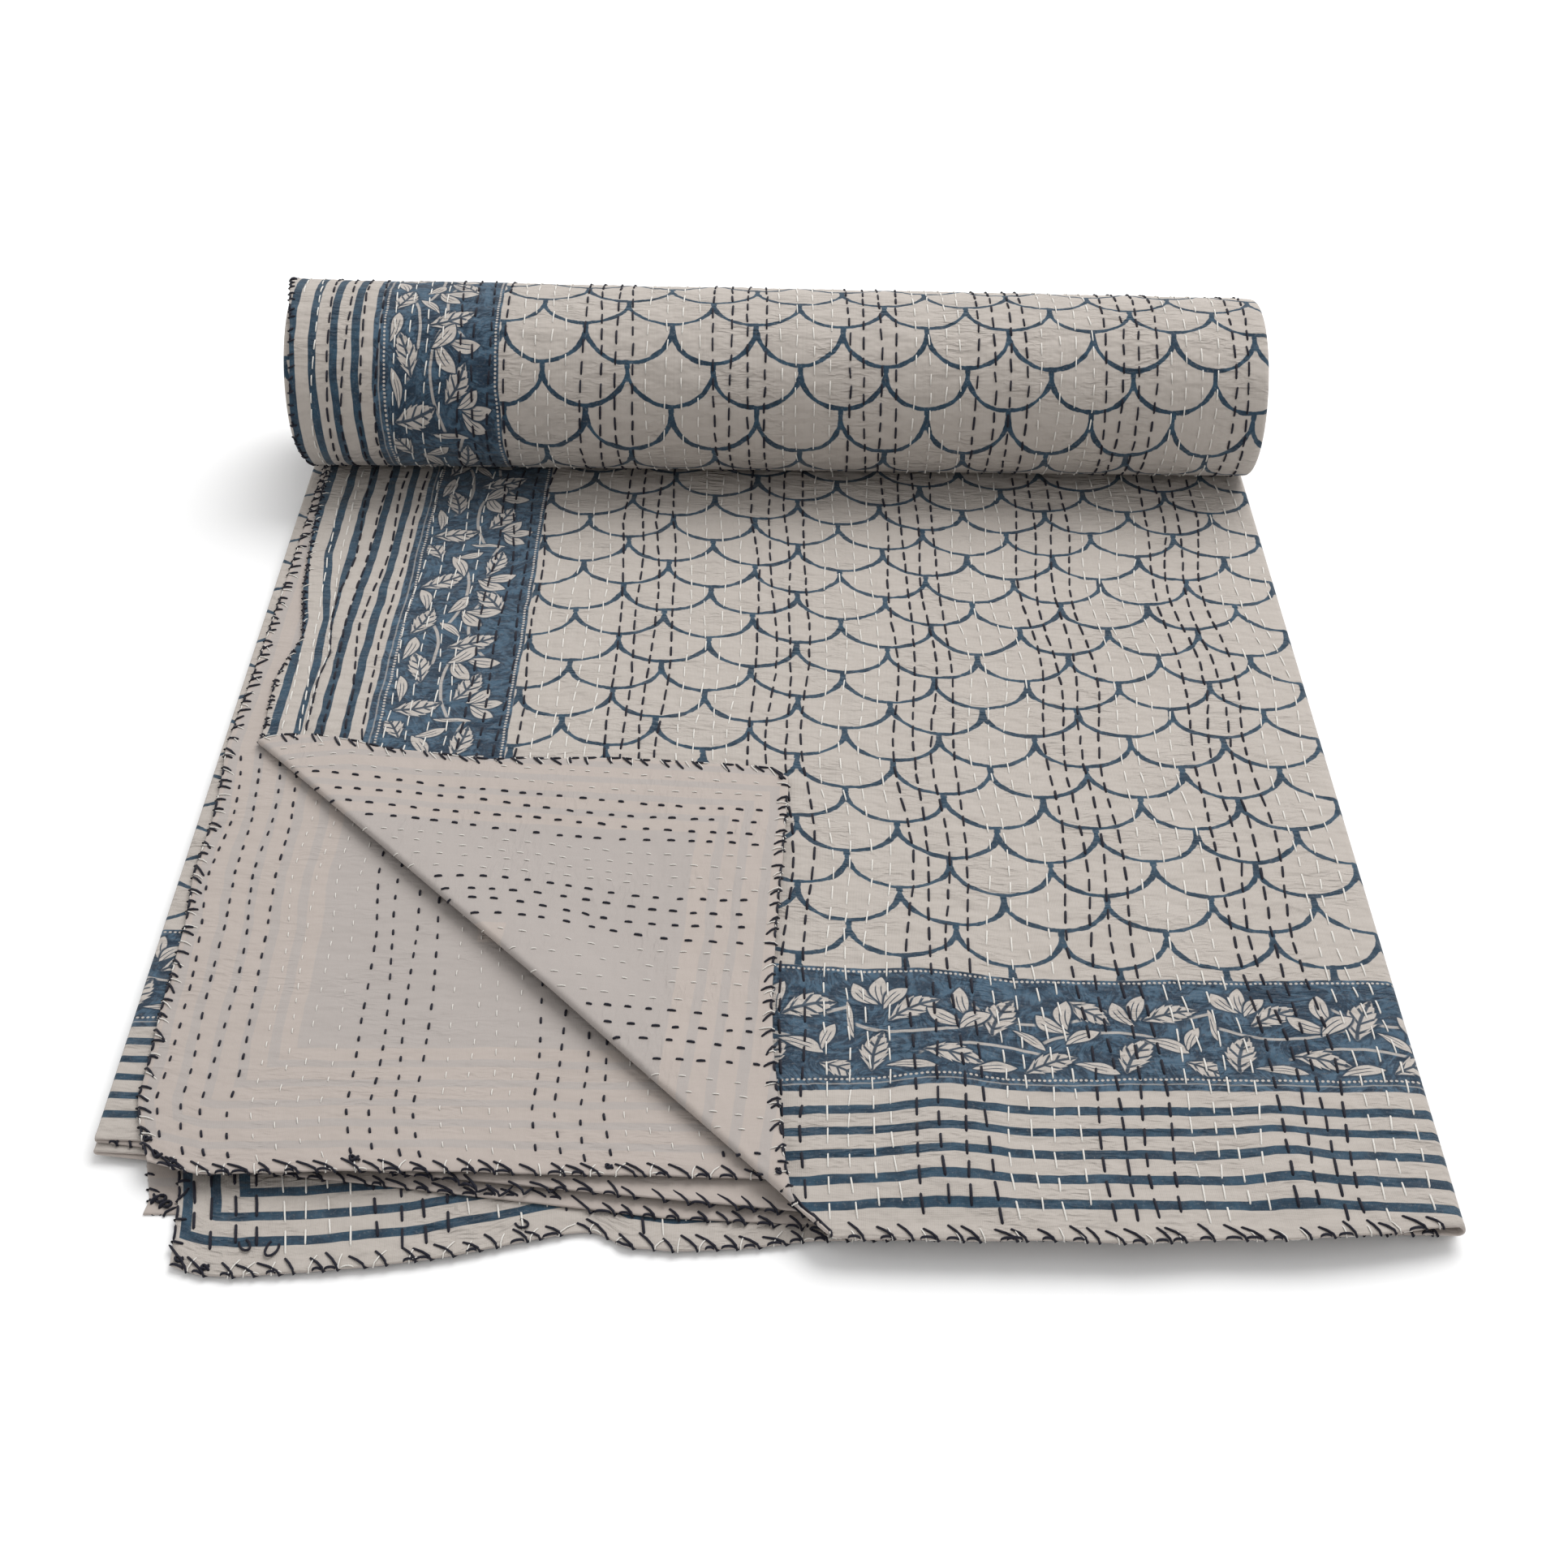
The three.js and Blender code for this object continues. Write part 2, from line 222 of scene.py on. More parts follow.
# x, then distance of the front hem from the front line
FRONT_HEM_FIRST_TOP = [
    (-252.5, 33.5), (-242.7, 32.7), (-192.7, 31.8), (-135.6, 31.4), (-103.6, 30.6), (-73.7, 27.8),
    (-53.8, 24.6), (-35, 21.5), (-8.2, 16.9), (8, 13), (14, 10.5), (19, 3.5), (25, -2), (40, -4),
    (58, -4.5), (84, -5), (116, -5), (149, -6), (181, -4), (214, -4), (247, -1), (277, 4), (283, 5),
]
FRONT_HEM_SECOND_TOP = [
    (-283, 50), (-150, 32), (-129, 29), (-113, 22), (-82, 25), (-35, 19), (16, 12), (283, 4),
]
FRONT_HEM_THIRD_TOP = [(-283, 50), (-150, 44), (283, 20)]
FRONT_HEM_FOURTH_TOP = [(-258, 37), (-235, 30), (-120, 31), (0, 28), (283, 20)]
FRONT_HEM_FIRST_UNDER = [(-256, 17), (0, 19), (283, 10)]
FRONT_HEM_SECOND_UNDER = [(-283, 46), (-100, 34), (283, 10)]
FRONT_HEM_THIRD_UNDER = [
    (-283, 46), (-128, 25), (-86, 23), (-74, 17), (-35, 13), (-10, 11), (25, 7), (283, 8),
]
FRONT_HEM_FOURTH_UNDER = [
    (-242, -7), (-238, -10), (-226, -14), (-214, -15), (-184, -13), (-155, -10), (-126, -5),
    (-96, 3), (-80, 7), (-70, 8), (-62, 4), (-57, 0), (-36, -2), (-6, 0), (17, 3), (283, 8),
]
FRONT_HEMS_TOP = [
    FRONT_HEM_FIRST_TOP, FRONT_HEM_SECOND_TOP, FRONT_HEM_THIRD_TOP, FRONT_HEM_FOURTH_TOP,
]
FRONT_HEMS_UNDER = [
    FRONT_HEM_FIRST_UNDER, FRONT_HEM_SECOND_UNDER, FRONT_HEM_THIRD_UNDER, FRONT_HEM_FOURTH_UNDER,
]
# behind these places the cloth lies where its length says, whatever its front hem does
REST_Y_TOP = 309.0
REST_Y_UNDER = 70.0
print("front hems:", len(FRONT_HEMS_TOP) + len(FRONT_HEMS_UNDER))

# %% [markdown]
# ## The folding formula
# A point of the flat cloth has two numbers: u, the distance from the left hem, and v, the
# distance from the front hem. First the section says where u ends up across the pile and how
# far from its middle layer: the four panels run back and forth. Then v says where along the
# pile that is: on the flat part, or wound up in the spiral of the roll.


# %% The section across the pile
def section(u, weight_top, along):
    """Place across the pile, and height from its middle."""

    def by_half(under, top):
        return mix(table_value(under, along), table_value(top, along), weight_top)

    edges = STRIPS
    line_first = by_half(SIDE_LINE_UNDER, SIDE_LINE_TOP)
    hem_wave = by_half(SIDE_HEM_FIRST_UNDER, SIDE_HEM_FIRST_TOP) - line_first
    hem_wave = hem_wave * np.exp(-u / HEM_WAVE_REACH)
    hem_fourth = by_half(SIDE_HEM_FOURTH_UNDER, SIDE_HEM_FOURTH_TOP)
    outer = math.pi / 2 - (u - edges[1]) / OUTER_FOLD_RADIUS
    left = -math.pi / 2 - (u - edges[3]) / INNER_FOLD_RADIUS
    inner = -math.pi / 2 + (u - edges[5]) / INNER_FOLD_RADIUS
    zone = [u <= edges[i] for i in range(1, 7)]
    x = np.select(
        zone,
        [
            mix(line_first, OUTER_FOLD_X, u / edges[1]) + hem_wave,
            OUTER_FOLD_X + OUTER_FOLD_RADIUS * np.cos(outer),
            mix(OUTER_FOLD_X, LEFT_FOLD_X, (u - edges[2]) / (edges[3] - edges[2])),
            LEFT_FOLD_X + INNER_FOLD_RADIUS * np.cos(left),
            mix(LEFT_FOLD_X, INNER_FOLD_X, (u - edges[4]) / (edges[5] - edges[4])),
            INNER_FOLD_X + INNER_FOLD_RADIUS * np.cos(inner),
        ],
        mix(INNER_FOLD_X, hem_fourth, (u - edges[6]) / (edges[7] - edges[6])),
    )
    height = np.select(
        zone,
        [
            3.5 * LAYER_PITCH + 0.0 * u,
            2 * LAYER_PITCH + OUTER_FOLD_RADIUS * np.sin(outer),
            0.5 * LAYER_PITCH + 0.0 * u,
            LAYER_PITCH + INNER_FOLD_RADIUS * np.sin(left),
            1.5 * LAYER_PITCH + 0.0 * u,
            2 * LAYER_PITCH + INNER_FOLD_RADIUS * np.sin(inner),
        ],
        2.5 * LAYER_PITCH,
    )
    return x, height


def front_hem(u, x, top):
    """How far from the front line the front hem of the panel at u lies."""
    panel = [u <= STRIPS[1], u <= 0.5 * (STRIPS[3] + STRIPS[4]), u <= 0.5 * (STRIPS[5] + STRIPS[6])]

    def by_panel(tables):
        places = [table_value(table, x) for table in tables]
        return np.select(panel, places[:3], places[3])

    return np.where(top, by_panel(FRONT_HEMS_TOP), by_panel(FRONT_HEMS_UNDER))


# %% [markdown]
# ### Where the print and the rows of stitches run
# The cloth was printed first and quilted afterwards by eye, so the print runs straight and the
# hems wander beside it. These tables tie the print to places on the folded cloth. A narrow
# pleat near the left hem swallows a strip of it. The rows of stitches run along the print and
# drift from side to side together, most of all on the corner that is turned back.

# %% The print and the rows across the cloth
PRINT_OVER_TOP = 284.3  # from the middle of the pile to where the print starts
# x on the roll, then the place in the print
ROLL_PRINT = [
    (-285, 21.3), (-231, 76), (-158, 149), (-133.5, 175.9), (14.3, 322), (63.8, 370.7),
    (110.7, 419.5), (158.4, 468.2), (205.5, 516.9), (252, 565.6), (275, 590), (283, 598),
]
# distance from the front, then x of the pleat and how much of it is closed
PLEAT_X = [(300, -241), (345, -242), (362, -242.4), (383, -239.5), (411, -244), (475, -247)]
PLEAT_CLOSED = [
    (0, 0), (250, 0), (300, 1), (380, 0.97), (411, 0.83), (425, 0.65), (450, 0.28), (475, 0),
]
PLEAT_MIDDLE_X = -241.0
PLEAT_HALF = 1.6
PLEAT_TAKES = 11.0  # the print on its left is drawn in by this much
PLEAT_GIVES = 3.3  # and on its right pushed on by this much, less and less
PLEAT_GIVES_REACH = 50
ROLL_PRINT_BLEND = (700, 1500)  # where the pile's print gives way to the roll's
FIRST_ROW = 49.0
ROW_PITCH = 9.4
FOURTH_ROW_START = 8.0
FOURTH_ROW_PITCH = 10.2
ROW_DRIFT = 6.5
TURNED_ROWS_END = (250, 320)  # how far the rows of the turned-back corner reach
ROW_BOW = 11
ROW_SPREAD = 8
PLEAT_DRAWS_ROWS = 6.5


def print_across(x, v):
    """Place across the print of a point on the first panel."""
    closed = table_value(PLEAT_CLOSED, v)
    line = table_value(PLEAT_X, v)
    right = PLEAT_GIVES * np.exp(-np.maximum(x - PLEAT_MIDDLE_X, 0.0) / PLEAT_GIVES_REACH)
    shift = closed * mix(-PLEAT_TAKES, right, ease(line - PLEAT_HALF, line + PLEAT_HALF, x))
    on_roll = ease(*ROLL_PRINT_BLEND, v)
    return mix(x + PRINT_OVER_TOP + shift, table_value(ROLL_PRINT, x), on_roll)


def bell(at, middle, half):
    return np.exp(-(((at - middle) / half) ** 2))


def row_drift(across, v):
    """How far all the rows near a place wander off their line."""
    drift = ROW_DRIFT * (soft_wave(across * 0.3, v, 170.0, 21) - 0.5)
    turned = 1 - ease(*TURNED_ROWS_END, v)
    bow = -ROW_BOW * np.exp(-(((across - 140) / 40) ** 2) - ((v - 125) / 60) ** 2)
    spread = ROW_SPREAD * (1 - v / 250) * bell(across, 60, 50)
    near_pleat = ease(280, 330, v) * (1 - ease(650, 900, v))
    return drift + turned * (bow + spread) - PLEAT_DRAWS_ROWS * near_pleat * bell(across, 55, 35)


def across_for_print(across, v):
    """The u of a place in the print, found by halving the interval again and again."""
    low, high = np.zeros_like(across), np.full_like(across, STRIPS[1])
    top = (v < HALF_LENGTH).astype(float)
    along = np.where(v < HALF_LENGTH, v, CLOTH_LENGTH - v)
    for _ in range(22):
        middle = 0.5 * (low + high)
        x, _ = section(middle, top, along)
        beyond = print_across(x, v) > across
        low, high = np.where(beyond, low, middle), np.where(beyond, middle, high)
    return 0.5 * (low + high)


# %% [markdown]
# ### Small rises and puckers
# Hand quilting draws the cloth together along every row of stitches, so it stands up a little
# between the rows and crumples softly. The front hems lift off each other here and there, which
# gives the dark gaps between the layers. Every wave lifts all the layers above it too, so that
# no layer can pass through another. Three low folds run along the top layer.

# %% Rises of the surface
# x, then how high the top layer's front hem stands off the layers under it
TOP_HEM_RISE = [
    (-40, 0.5), (19, 0.2), (45, 0.7), (75, 1.2), (110, 1.0), (150, 0.9), (190, 0.7),
    (217, 1.5), (245, 0.8), (270, 1.4), (283, 0.0),
]
# the wave that starts at each layer, from the lowest: wavelength, height
LAYER_WAVES = [(190, 0.8), (150, 0.5), (230, 0.4), (120, 0.5), (170, 0.5), (140, 0.8), (90, 0.0)]
# x, half width, height, and where it fades: from and to, measured from the front
LOW_FOLDS = [(75, 24, 5.2, 90, 230), (216, 15, 3.2, 25, 95), (-95, 30, 1.2, 380, 560)]
LAYERS_LIE_CLOSE = 110  # how far from the front line the layers lie close on each other
TOP_LIES_CLOSE = 85
PUFF = 0.32
BIG_CRUMPLE, SMALL_CRUMPLE = 0.6, 0.35
PLEAT_LIP, PLEAT_DEPTH = 0.9, 1.0


def hem_lift(x, y, level):
    """How much the layers near the front hems stand up, by level from 0 (lowest) to 7 (top)."""
    total = np.zeros(np.broadcast(x, y).shape)
    for index, (wavelength, height) in enumerate(LAYER_WAVES):
        share = np.clip(level - index, 0.0, 1.0)
        wave = 0.5 + 0.5 * np.sin(x * math.tau / wavelength + 1.9 * index)
        total += share * height * wave**2
    is_top = np.clip(level - 6.0, 0.0, 1.0)
    edges = ease(PILE_HALF_WIDTH + 2, PILE_HALF_WIDTH - 60, np.abs(x))
    total = total * edges * (1 - ease(-5, LAYERS_LIE_CLOSE, y))
    total += is_top * table_value(TOP_HEM_RISE, x) * (1 - ease(-5, TOP_LIES_CLOSE, y))
    for middle, half, height, start, end in LOW_FOLDS:
        fades = ease(2, 20, y) * (1 - ease(start, end, y))
        total += is_top * height * bell(x, middle, half) * fades
    return total


def pleat_relief(x, v):
    """The pleat: a narrow valley with a soft lip on its right."""
    from_line = x - table_value(PLEAT_X, v)
    lip = PLEAT_LIP * bell(from_line, 4.5, 3.5)
    return table_value(PLEAT_CLOSED, v) * (lip - PLEAT_DEPTH * bell(from_line, 0, 1.8))


def puckers(a, v, phase):
    """The puffs between the rows of stitches and the crumpling of the cloth, in millimetres."""
    puff = 0.5 - 0.5 * np.cos(phase * math.tau)
    drawn = 0.35 + 0.65 * soft_wave(a, v, 22.0, 5)
    crumple = BIG_CRUMPLE * soft_wave(a * 0.7, v, 46.0, 1)
    crumple = crumple + SMALL_CRUMPLE * soft_wave(a * 0.5, v, 16.0, 2)
    return PUFF * puff * drawn + crumple


# %% [markdown]
# ### The roll and the turned-back corner
# The roll is a spiral: its radius shrinks by the thickness of the pile with every turn. The
# turned-back corner is a bend along a slanting line. The cloth rises a little towards the line,
# turns sharply, and comes down again on the top layer with its plain side up.

# %% The roll
SPIRAL = ROLL_TURN_PITCH / (4 * math.pi)


def roll_angle(along):
    """The turn of the spiral, in radians, at a distance along the cloth."""
    wound = np.maximum(along - ROLL_CENTRE_Y, 0.0)
    return (ROLL_RADIUS - np.sqrt(ROLL_RADIUS**2 - 4 * SPIRAL * wound)) / (2 * SPIRAL)


def wind(x, height, along, bend):
    """Points of the wound part. bend is 0 in the top half, a half turn in the half under it."""
    angle = roll_angle(along)
    side = x / PILE_HALF_WIDTH
    centre_y = ROLL_CENTRE_Y - ROLL_SKEW * side
    centre_z = ROLL_CENTRE_Z - ROLL_TAPER * side
    radius = centre_z - PILE_MIDDLE - ROLL_TURN_PITCH * angle / math.tau
    lift_y = -np.cos(bend) * np.sin(angle) + np.sin(bend) * np.cos(angle)
    lift_z = np.cos(bend) * np.cos(angle) + np.sin(bend) * np.sin(angle)
    y = centre_y + radius * np.sin(angle) + height * lift_y
    z = centre_z - radius * np.cos(angle) + height * lift_z
    return y, z


# %% The turned-back corner
CORNER_LEFT = np.array([-263.8, 307.3])
CORNER_FRONT = np.array([14.0, 10.4])
CORNER_RUN = (CORNER_FRONT - CORNER_LEFT) / np.linalg.norm(CORNER_FRONT - CORNER_LEFT)
CORNER_OUT = np.array([CORNER_RUN[1], -CORNER_RUN[0]])
CORNER_LENGTH = float(np.linalg.norm(CORNER_FRONT - CORNER_LEFT))
CORNER_REST = 2.7  # how far the corner lies above the top layer
CORNER_BEND = 1.8  # radius of the crisp bend itself
CORNER_TURN = math.pi / 2 * CORNER_BEND  # cloth on each side of the line that the bend takes
CORNER_RISE_FROM = 15.0  # how far before the line the cloth starts to rise
CORNER_SETTLE = 29.0
STAND_AT_ENDS = 0.4  # how high the bend stands at the ends of the line, and how much more between
STAND_MORE = 4.5
ARCH_AT_ENDS = 3.0  # the cloth that the soft arch takes is that of a bend with this radius
ARCH_MORE = 2.2
ARCH_LESS = 5.0
SLACK_REACH = 90  # the slack is taken up over this length behind the bend
SECOND_RISE = 1.2  # how much the second layer rises under the bend, and how far around it
SECOND_RISE_BEFORE = 13
SECOND_RISE_BEYOND = 32


def corner_place(x, y):
    """How far a flat point lies beyond the slanting line, and how loose the bend is there."""
    run = (x - CORNER_LEFT[0]) * CORNER_RUN[0] + (y - CORNER_LEFT[1]) * CORNER_RUN[1]
    out = (x - CORNER_LEFT[0]) * CORNER_OUT[0] + (y - CORNER_LEFT[1]) * CORNER_OUT[1]
    loose = np.sin(math.pi * np.clip(run / CORNER_LENGTH, 0.0, 1.0)) ** 0.8
    return out, loose


def under_corner(x, y):
    """The second layer is drawn up a little under the bend, which shades it in a soft band."""
    out, loose = corner_place(x, y)
    beyond = np.clip(1 - out / SECOND_RISE_BEYOND, 0.0, 1.0)
    return SECOND_RISE * loose * ease(-SECOND_RISE_BEFORE, 0, out) * beyond**2


def turn_back(x, y, z, lift):
    """Bends the cloth beyond the slanting line back over the top layer."""
    out, loose = corner_place(x, y)
    stand = STAND_AT_ENDS + STAND_MORE * loose
    turned = np.clip((out + CORNER_TURN) / CORNER_BEND, 0.0, math.pi)
    reach = np.maximum(out - CORNER_TURN, 0.0)
    slack = CORNER_TURN - CORNER_BEND
    before = out + slack * ease(-CORNER_RISE_FROM, -CORNER_TURN, out)
    spare = (math.pi - 2) * (ARCH_AT_ENDS + ARCH_MORE * loose) - 2 * slack - ARCH_LESS
    after = CORNER_BEND * (np.sin(turned) - 1) - reach + spare * ease(0, SLACK_REACH, reach)
    beyond = np.where(out < -CORNER_TURN, before, after)
    rest = CORNER_REST + lift
    crest = stand + 2 * CORNER_BEND
    settle = np.exp(-((reach / CORNER_SETTLE) ** 2))
    height = np.where(
        reach > 0,
        rest + (crest - rest) * settle,
        stand * ease(-CORNER_RISE_FROM, -CORNER_TURN, out) + CORNER_BEND * (1 - np.cos(turned)),
    )
    shift = beyond - out
    return x + CORNER_OUT[0] * shift, y + CORNER_OUT[1] * shift, z + height


# %% [markdown]
# ### All the folding in one function
# `fold_cloth` takes arrays of u and v and gives places in space. `cloth_frame` also gives the
# direction in which the printed side looks, from two tiny steps along the cloth.


# %% Folding the cloth
def flat_xy(u, v):
    """The top layer spread out flat, before its corner is turned back."""
    x, _ = section(u, np.ones_like(u), v)
    hem = front_hem(u, x, np.ones_like(u, bool))
    return x, np.where(v < REST_Y_TOP, mix(hem, REST_Y_TOP, v / REST_Y_TOP), v)


def fold_cloth(u, v):
    """Where the points of the flat cloth lie in space, in millimetres."""
    u, v = np.broadcast_arrays(np.asarray(u, float), np.asarray(v, float))
    top = v < HALF_LENGTH
    along = np.where(top, v, CLOTH_LENGTH - v)
    bend = math.pi * np.clip((v - HALF_LENGTH + ACROSS_FOLD) / (2 * ACROSS_FOLD), 0.0, 1.0)
    along = np.minimum(along, HALF_LENGTH - ACROSS_FOLD)
    x, height = section(u, 0.5 + 0.5 * np.cos(bend), along)
    sign = np.where(top, 1.0, -1.0)

    # the lying part
    rest = np.where(top, REST_Y_TOP, REST_Y_UNDER)
    hem = front_hem(u, x, top)
    roll_y = ROLL_CENTRE_Y - ROLL_SKEW * x / PILE_HALF_WIDTH
    y = np.where(
        along < rest,
        mix(hem, rest, along / rest),
        mix(rest, roll_y, (along - rest) / (ROLL_CENTRE_Y - rest)),
    )
    level = (sign * height) / LAYER_PITCH + 3.5
    z = PILE_MIDDLE + sign * height + hem_lift(x, y, level)

    is_top_layer = top & (u <= STRIPS[1])
    from_fourth = CLOTH_WIDTH - u
    out, _ = corner_place(x, y)
    open_side = ease(PILE_HALF_WIDTH - 1, PILE_HALF_WIDTH - 20, x)
    across = print_across(x, v)
    top_puckers = puckers(across, v, (across - row_drift(across, v) - FIRST_ROW) / ROW_PITCH)
    second_puckers = puckers(from_fourth, v, (from_fourth - FOURTH_ROW_START) / FOURTH_ROW_PITCH)
    before_roll = 1 - ease(ROLL_CENTRE_Y - 75, ROLL_CENTRE_Y - 45, along)
    flat_side = 1 - ease(-CORNER_RISE_FROM - 3, -CORNER_RISE_FROM + 2, out)
    relief = (top_puckers * before_roll + pleat_relief(x, v)) * open_side * flat_side
    z = z + np.where(is_top_layer, relief, 0.0)
    is_second = top & (u >= STRIPS[6])
    uncovered = ease(0, 24, out)
    z = z + np.where(is_second, second_puckers * uncovered + under_corner(x, y), 0.0)
    is_seventh = ~top & (u >= STRIPS[6])
    peeping = 1 - ease(10, 24, y)
    z = z + np.where(is_seventh, 0.7 * second_puckers * peeping, 0.0)

    tx, ty, tz = turn_back(x, y, z, top_puckers)
    use = is_top_layer & (along < REST_Y_TOP + 20)
    flat = np.stack([np.where(use, tx, x), np.where(use, ty, y), np.where(use, tz, z)], axis=-1)

    # the wound part
    angle = roll_angle(along)
    outside = ~top & (u <= STRIPS[1])
    shows = ease(0.25, 0.7, angle) * (1 - ease(5.2, 5.8, angle))
    wound_height = np.where(outside, height + top_puckers * shows * open_side, height)
    wy, wz = wind(x, wound_height, along, bend)
    wound = np.stack([x, wy, wz], axis=-1)
    return np.where((along < ROLL_CENTRE_Y)[..., None], flat, wound)


TINY_STEP = 0.3


def unit(vector):
    return vector / np.maximum(np.linalg.norm(vector, axis=-1, keepdims=True), 1e-9)


def cloth_frame(u, v):
    """Places, unit vectors towards more u and more v, and the way the printed side looks."""
    place = fold_cloth(u, v)
    across = fold_cloth(u + TINY_STEP, v) - fold_cloth(u - TINY_STEP, v)
    along = fold_cloth(u, v + TINY_STEP) - fold_cloth(u, v - TINY_STEP)
    face = np.cross(across, along)
    return place, unit(across), unit(along), unit(face)


def to_scene(place):
    return (np.asarray(place) - np.array([0.0, FRONT_LINE, 0.0])) * MM


print("the hem's corner folds to", np.round(fold_cloth(0.0, 0.0), 1))

# %% [markdown]
# ## The cloth as a mesh
# The cloth is drawn flat as rows and columns. Where it shows, the columns follow the rows of
# stitches, one on each row and one on each puff. Inside the roll and the pile it is coarser,
# which keeps the whole mesh under 200,000 triangles.
# Rows with different columns are zipped together with triangles. Then the bend of the turned
# corner is scored into the flat mesh with straight cuts, as with a bone folder on card, so that
# the bend comes out round and smooth.


# %% Rows and columns of the flat cloth
def even(start, end, step):
    count = max(1, round((end - start) / step))
    return list(np.linspace(start, end, count + 1))


HEM_STEPS = [0.0, 0.7, 2.0, 3.6, 5.6, 8.2]
# how far in from its hem the fourth panel is fine where it shows, and where it is covered
FOURTH_SHOWS = 320
FOURTH_COVERED = 20
FLAP_SLOPE = 0.8  # the second layer shows up to the slanting fold of the corner


def fold_steps(strip, count):
    return list(np.linspace(STRIPS[strip], STRIPS[strip + 1], count + 1))


def row_steps(start, pitch, end):
    """A column on every row of stitches and one on every puff between them."""
    return [start + 0.5 * pitch * k for k in range(int((end - start) / (0.5 * pitch)))]


def first_panel_steps(v):
    """The same for the first panel, where the rows drift."""
    print_end = 600.0
    across = FIRST_ROW + ROW_PITCH * np.arange(-8, 2 * (print_end - FIRST_ROW) / ROW_PITCH) / 2
    steps = across_for_print(across + row_drift(across, v), np.full_like(across, v))
    return [u for u in steps if HEM_STEPS[-1] + 2.2 < u < STRIPS[1] - 2.5]


def make_columns(v, first_fine, fourth_fine):
    first_end = float(STRIPS[1])
    if first_fine:
        first = HEM_STEPS + first_panel_steps(v) + [first_end]
    else:
        first = HEM_STEPS + even(16.0, first_end - 30, 22.0) + [first_end - 12, first_end]
    from_hem = HEM_STEPS[:5] + row_steps(FOURTH_ROW_START, FOURTH_ROW_PITCH, fourth_fine)
    from_hem += even(from_hem[-1] + 12.0, STRIP_WIDTHS[6], 34.0)
    second_start, third_start = float(STRIPS[2]), float(STRIPS[4])
    second = [second_start + s for s in (0, 12, 120, 240, 360, 480, 540, 555)] + [float(STRIPS[3])]
    third = [third_start + s for s in (0, 4, 10, 18, 40, 120, 240, 360, 480)] + [float(STRIPS[5])]
    fourth = [CLOTH_WIDTH - s for s in reversed(from_hem)]
    columns = first + fold_steps(1, 7) + second + fold_steps(3, 5) + third + fold_steps(5, 5) + fourth
    return np.array(sorted(set(round(float(c), 4) for c in columns)))


def make_rows():
    """Every row's v, whether the first panel is fine there, and how far the fourth one is."""
    fold_start, fold_end = HALF_LENGTH - ACROSS_FOLD, HALF_LENGTH + ACROSS_FOLD
    rows = [(v, True, FOURTH_SHOWS - FLAP_SLOPE * v) for v in HEM_STEPS + even(11.5, 318, 5.8)]
    rows += [(v, True, FOURTH_COVERED) for v in even(323.5, 560, 5.9)]
    rows += [(v, False, FOURTH_COVERED) for v in even(570, fold_start - 2, 11.0)]
    rows += [(v, False, FOURTH_COVERED) for v in even(fold_start, fold_end, 1.0)]
    under = [(v, False, FOURTH_COVERED) for v in even(945, fold_start - 2, 11.0)]
    under += [(v, True, FOURTH_COVERED) for v in even(ROLL_CENTRE_Y - 14, 940, 5.3)]
    under += [(v, False, FOURTH_COVERED) for v in even(62, ROLL_CENTRE_Y - 30, 26.0)]
    under += [(v, False, FOURTH_SHOWS) for v in even(11.5, 50, 5.5) + HEM_STEPS]
    under.sort(key=lambda row: -row[0])
    rows += [(CLOTH_LENGTH - v, first, fourth) for v, first, fourth in under]
    return rows


def zip_rows(lower, lower_u, upper, upper_u):
    """Faces between two rows of points."""
    if len(lower) == len(upper):
        return list(zip(lower, lower[1:], upper[1:], upper))
    faces, i, j = [], 0, 0
    while i < len(lower) - 1 or j < len(upper) - 1:
        if j == len(upper) - 1 or (i < len(lower) - 1 and lower_u[i + 1] <= upper_u[j + 1]):
            faces.append((lower[i], lower[i + 1], upper[j]))
            i += 1
        else:
            faces.append((lower[i], upper[j + 1], upper[j]))
            j += 1
    return faces


def flat_cloth():
    us, vs, faces, before = [], [], [], None
    for v, first_fine, fourth_fine in make_rows():
        columns = make_columns(v, first_fine, fourth_fine)
        ids = list(range(len(us), len(us) + len(columns)))
        us.extend(columns)
        vs.extend([v] * len(columns))
        if before:
            faces += zip_rows(before[0], before[1], ids, columns)
        before = (ids, columns)
    return np.array(us), np.array(vs), faces


flat_u, flat_v, flat_faces = flat_cloth()
print("flat cloth:", len(flat_u), "points,", len(flat_faces), "faces")

# %% Scoring the bend of the corner
# how far from the slanting line each score lies
SCORES = [-15, -12, -9, -6, -3.6, *np.linspace(-CORNER_TURN, CORNER_TURN, 9), 3.8, 6.5, 10, 15]
ASIDE = 9000  # cloth that isn't scored is laid aside, far from the knife


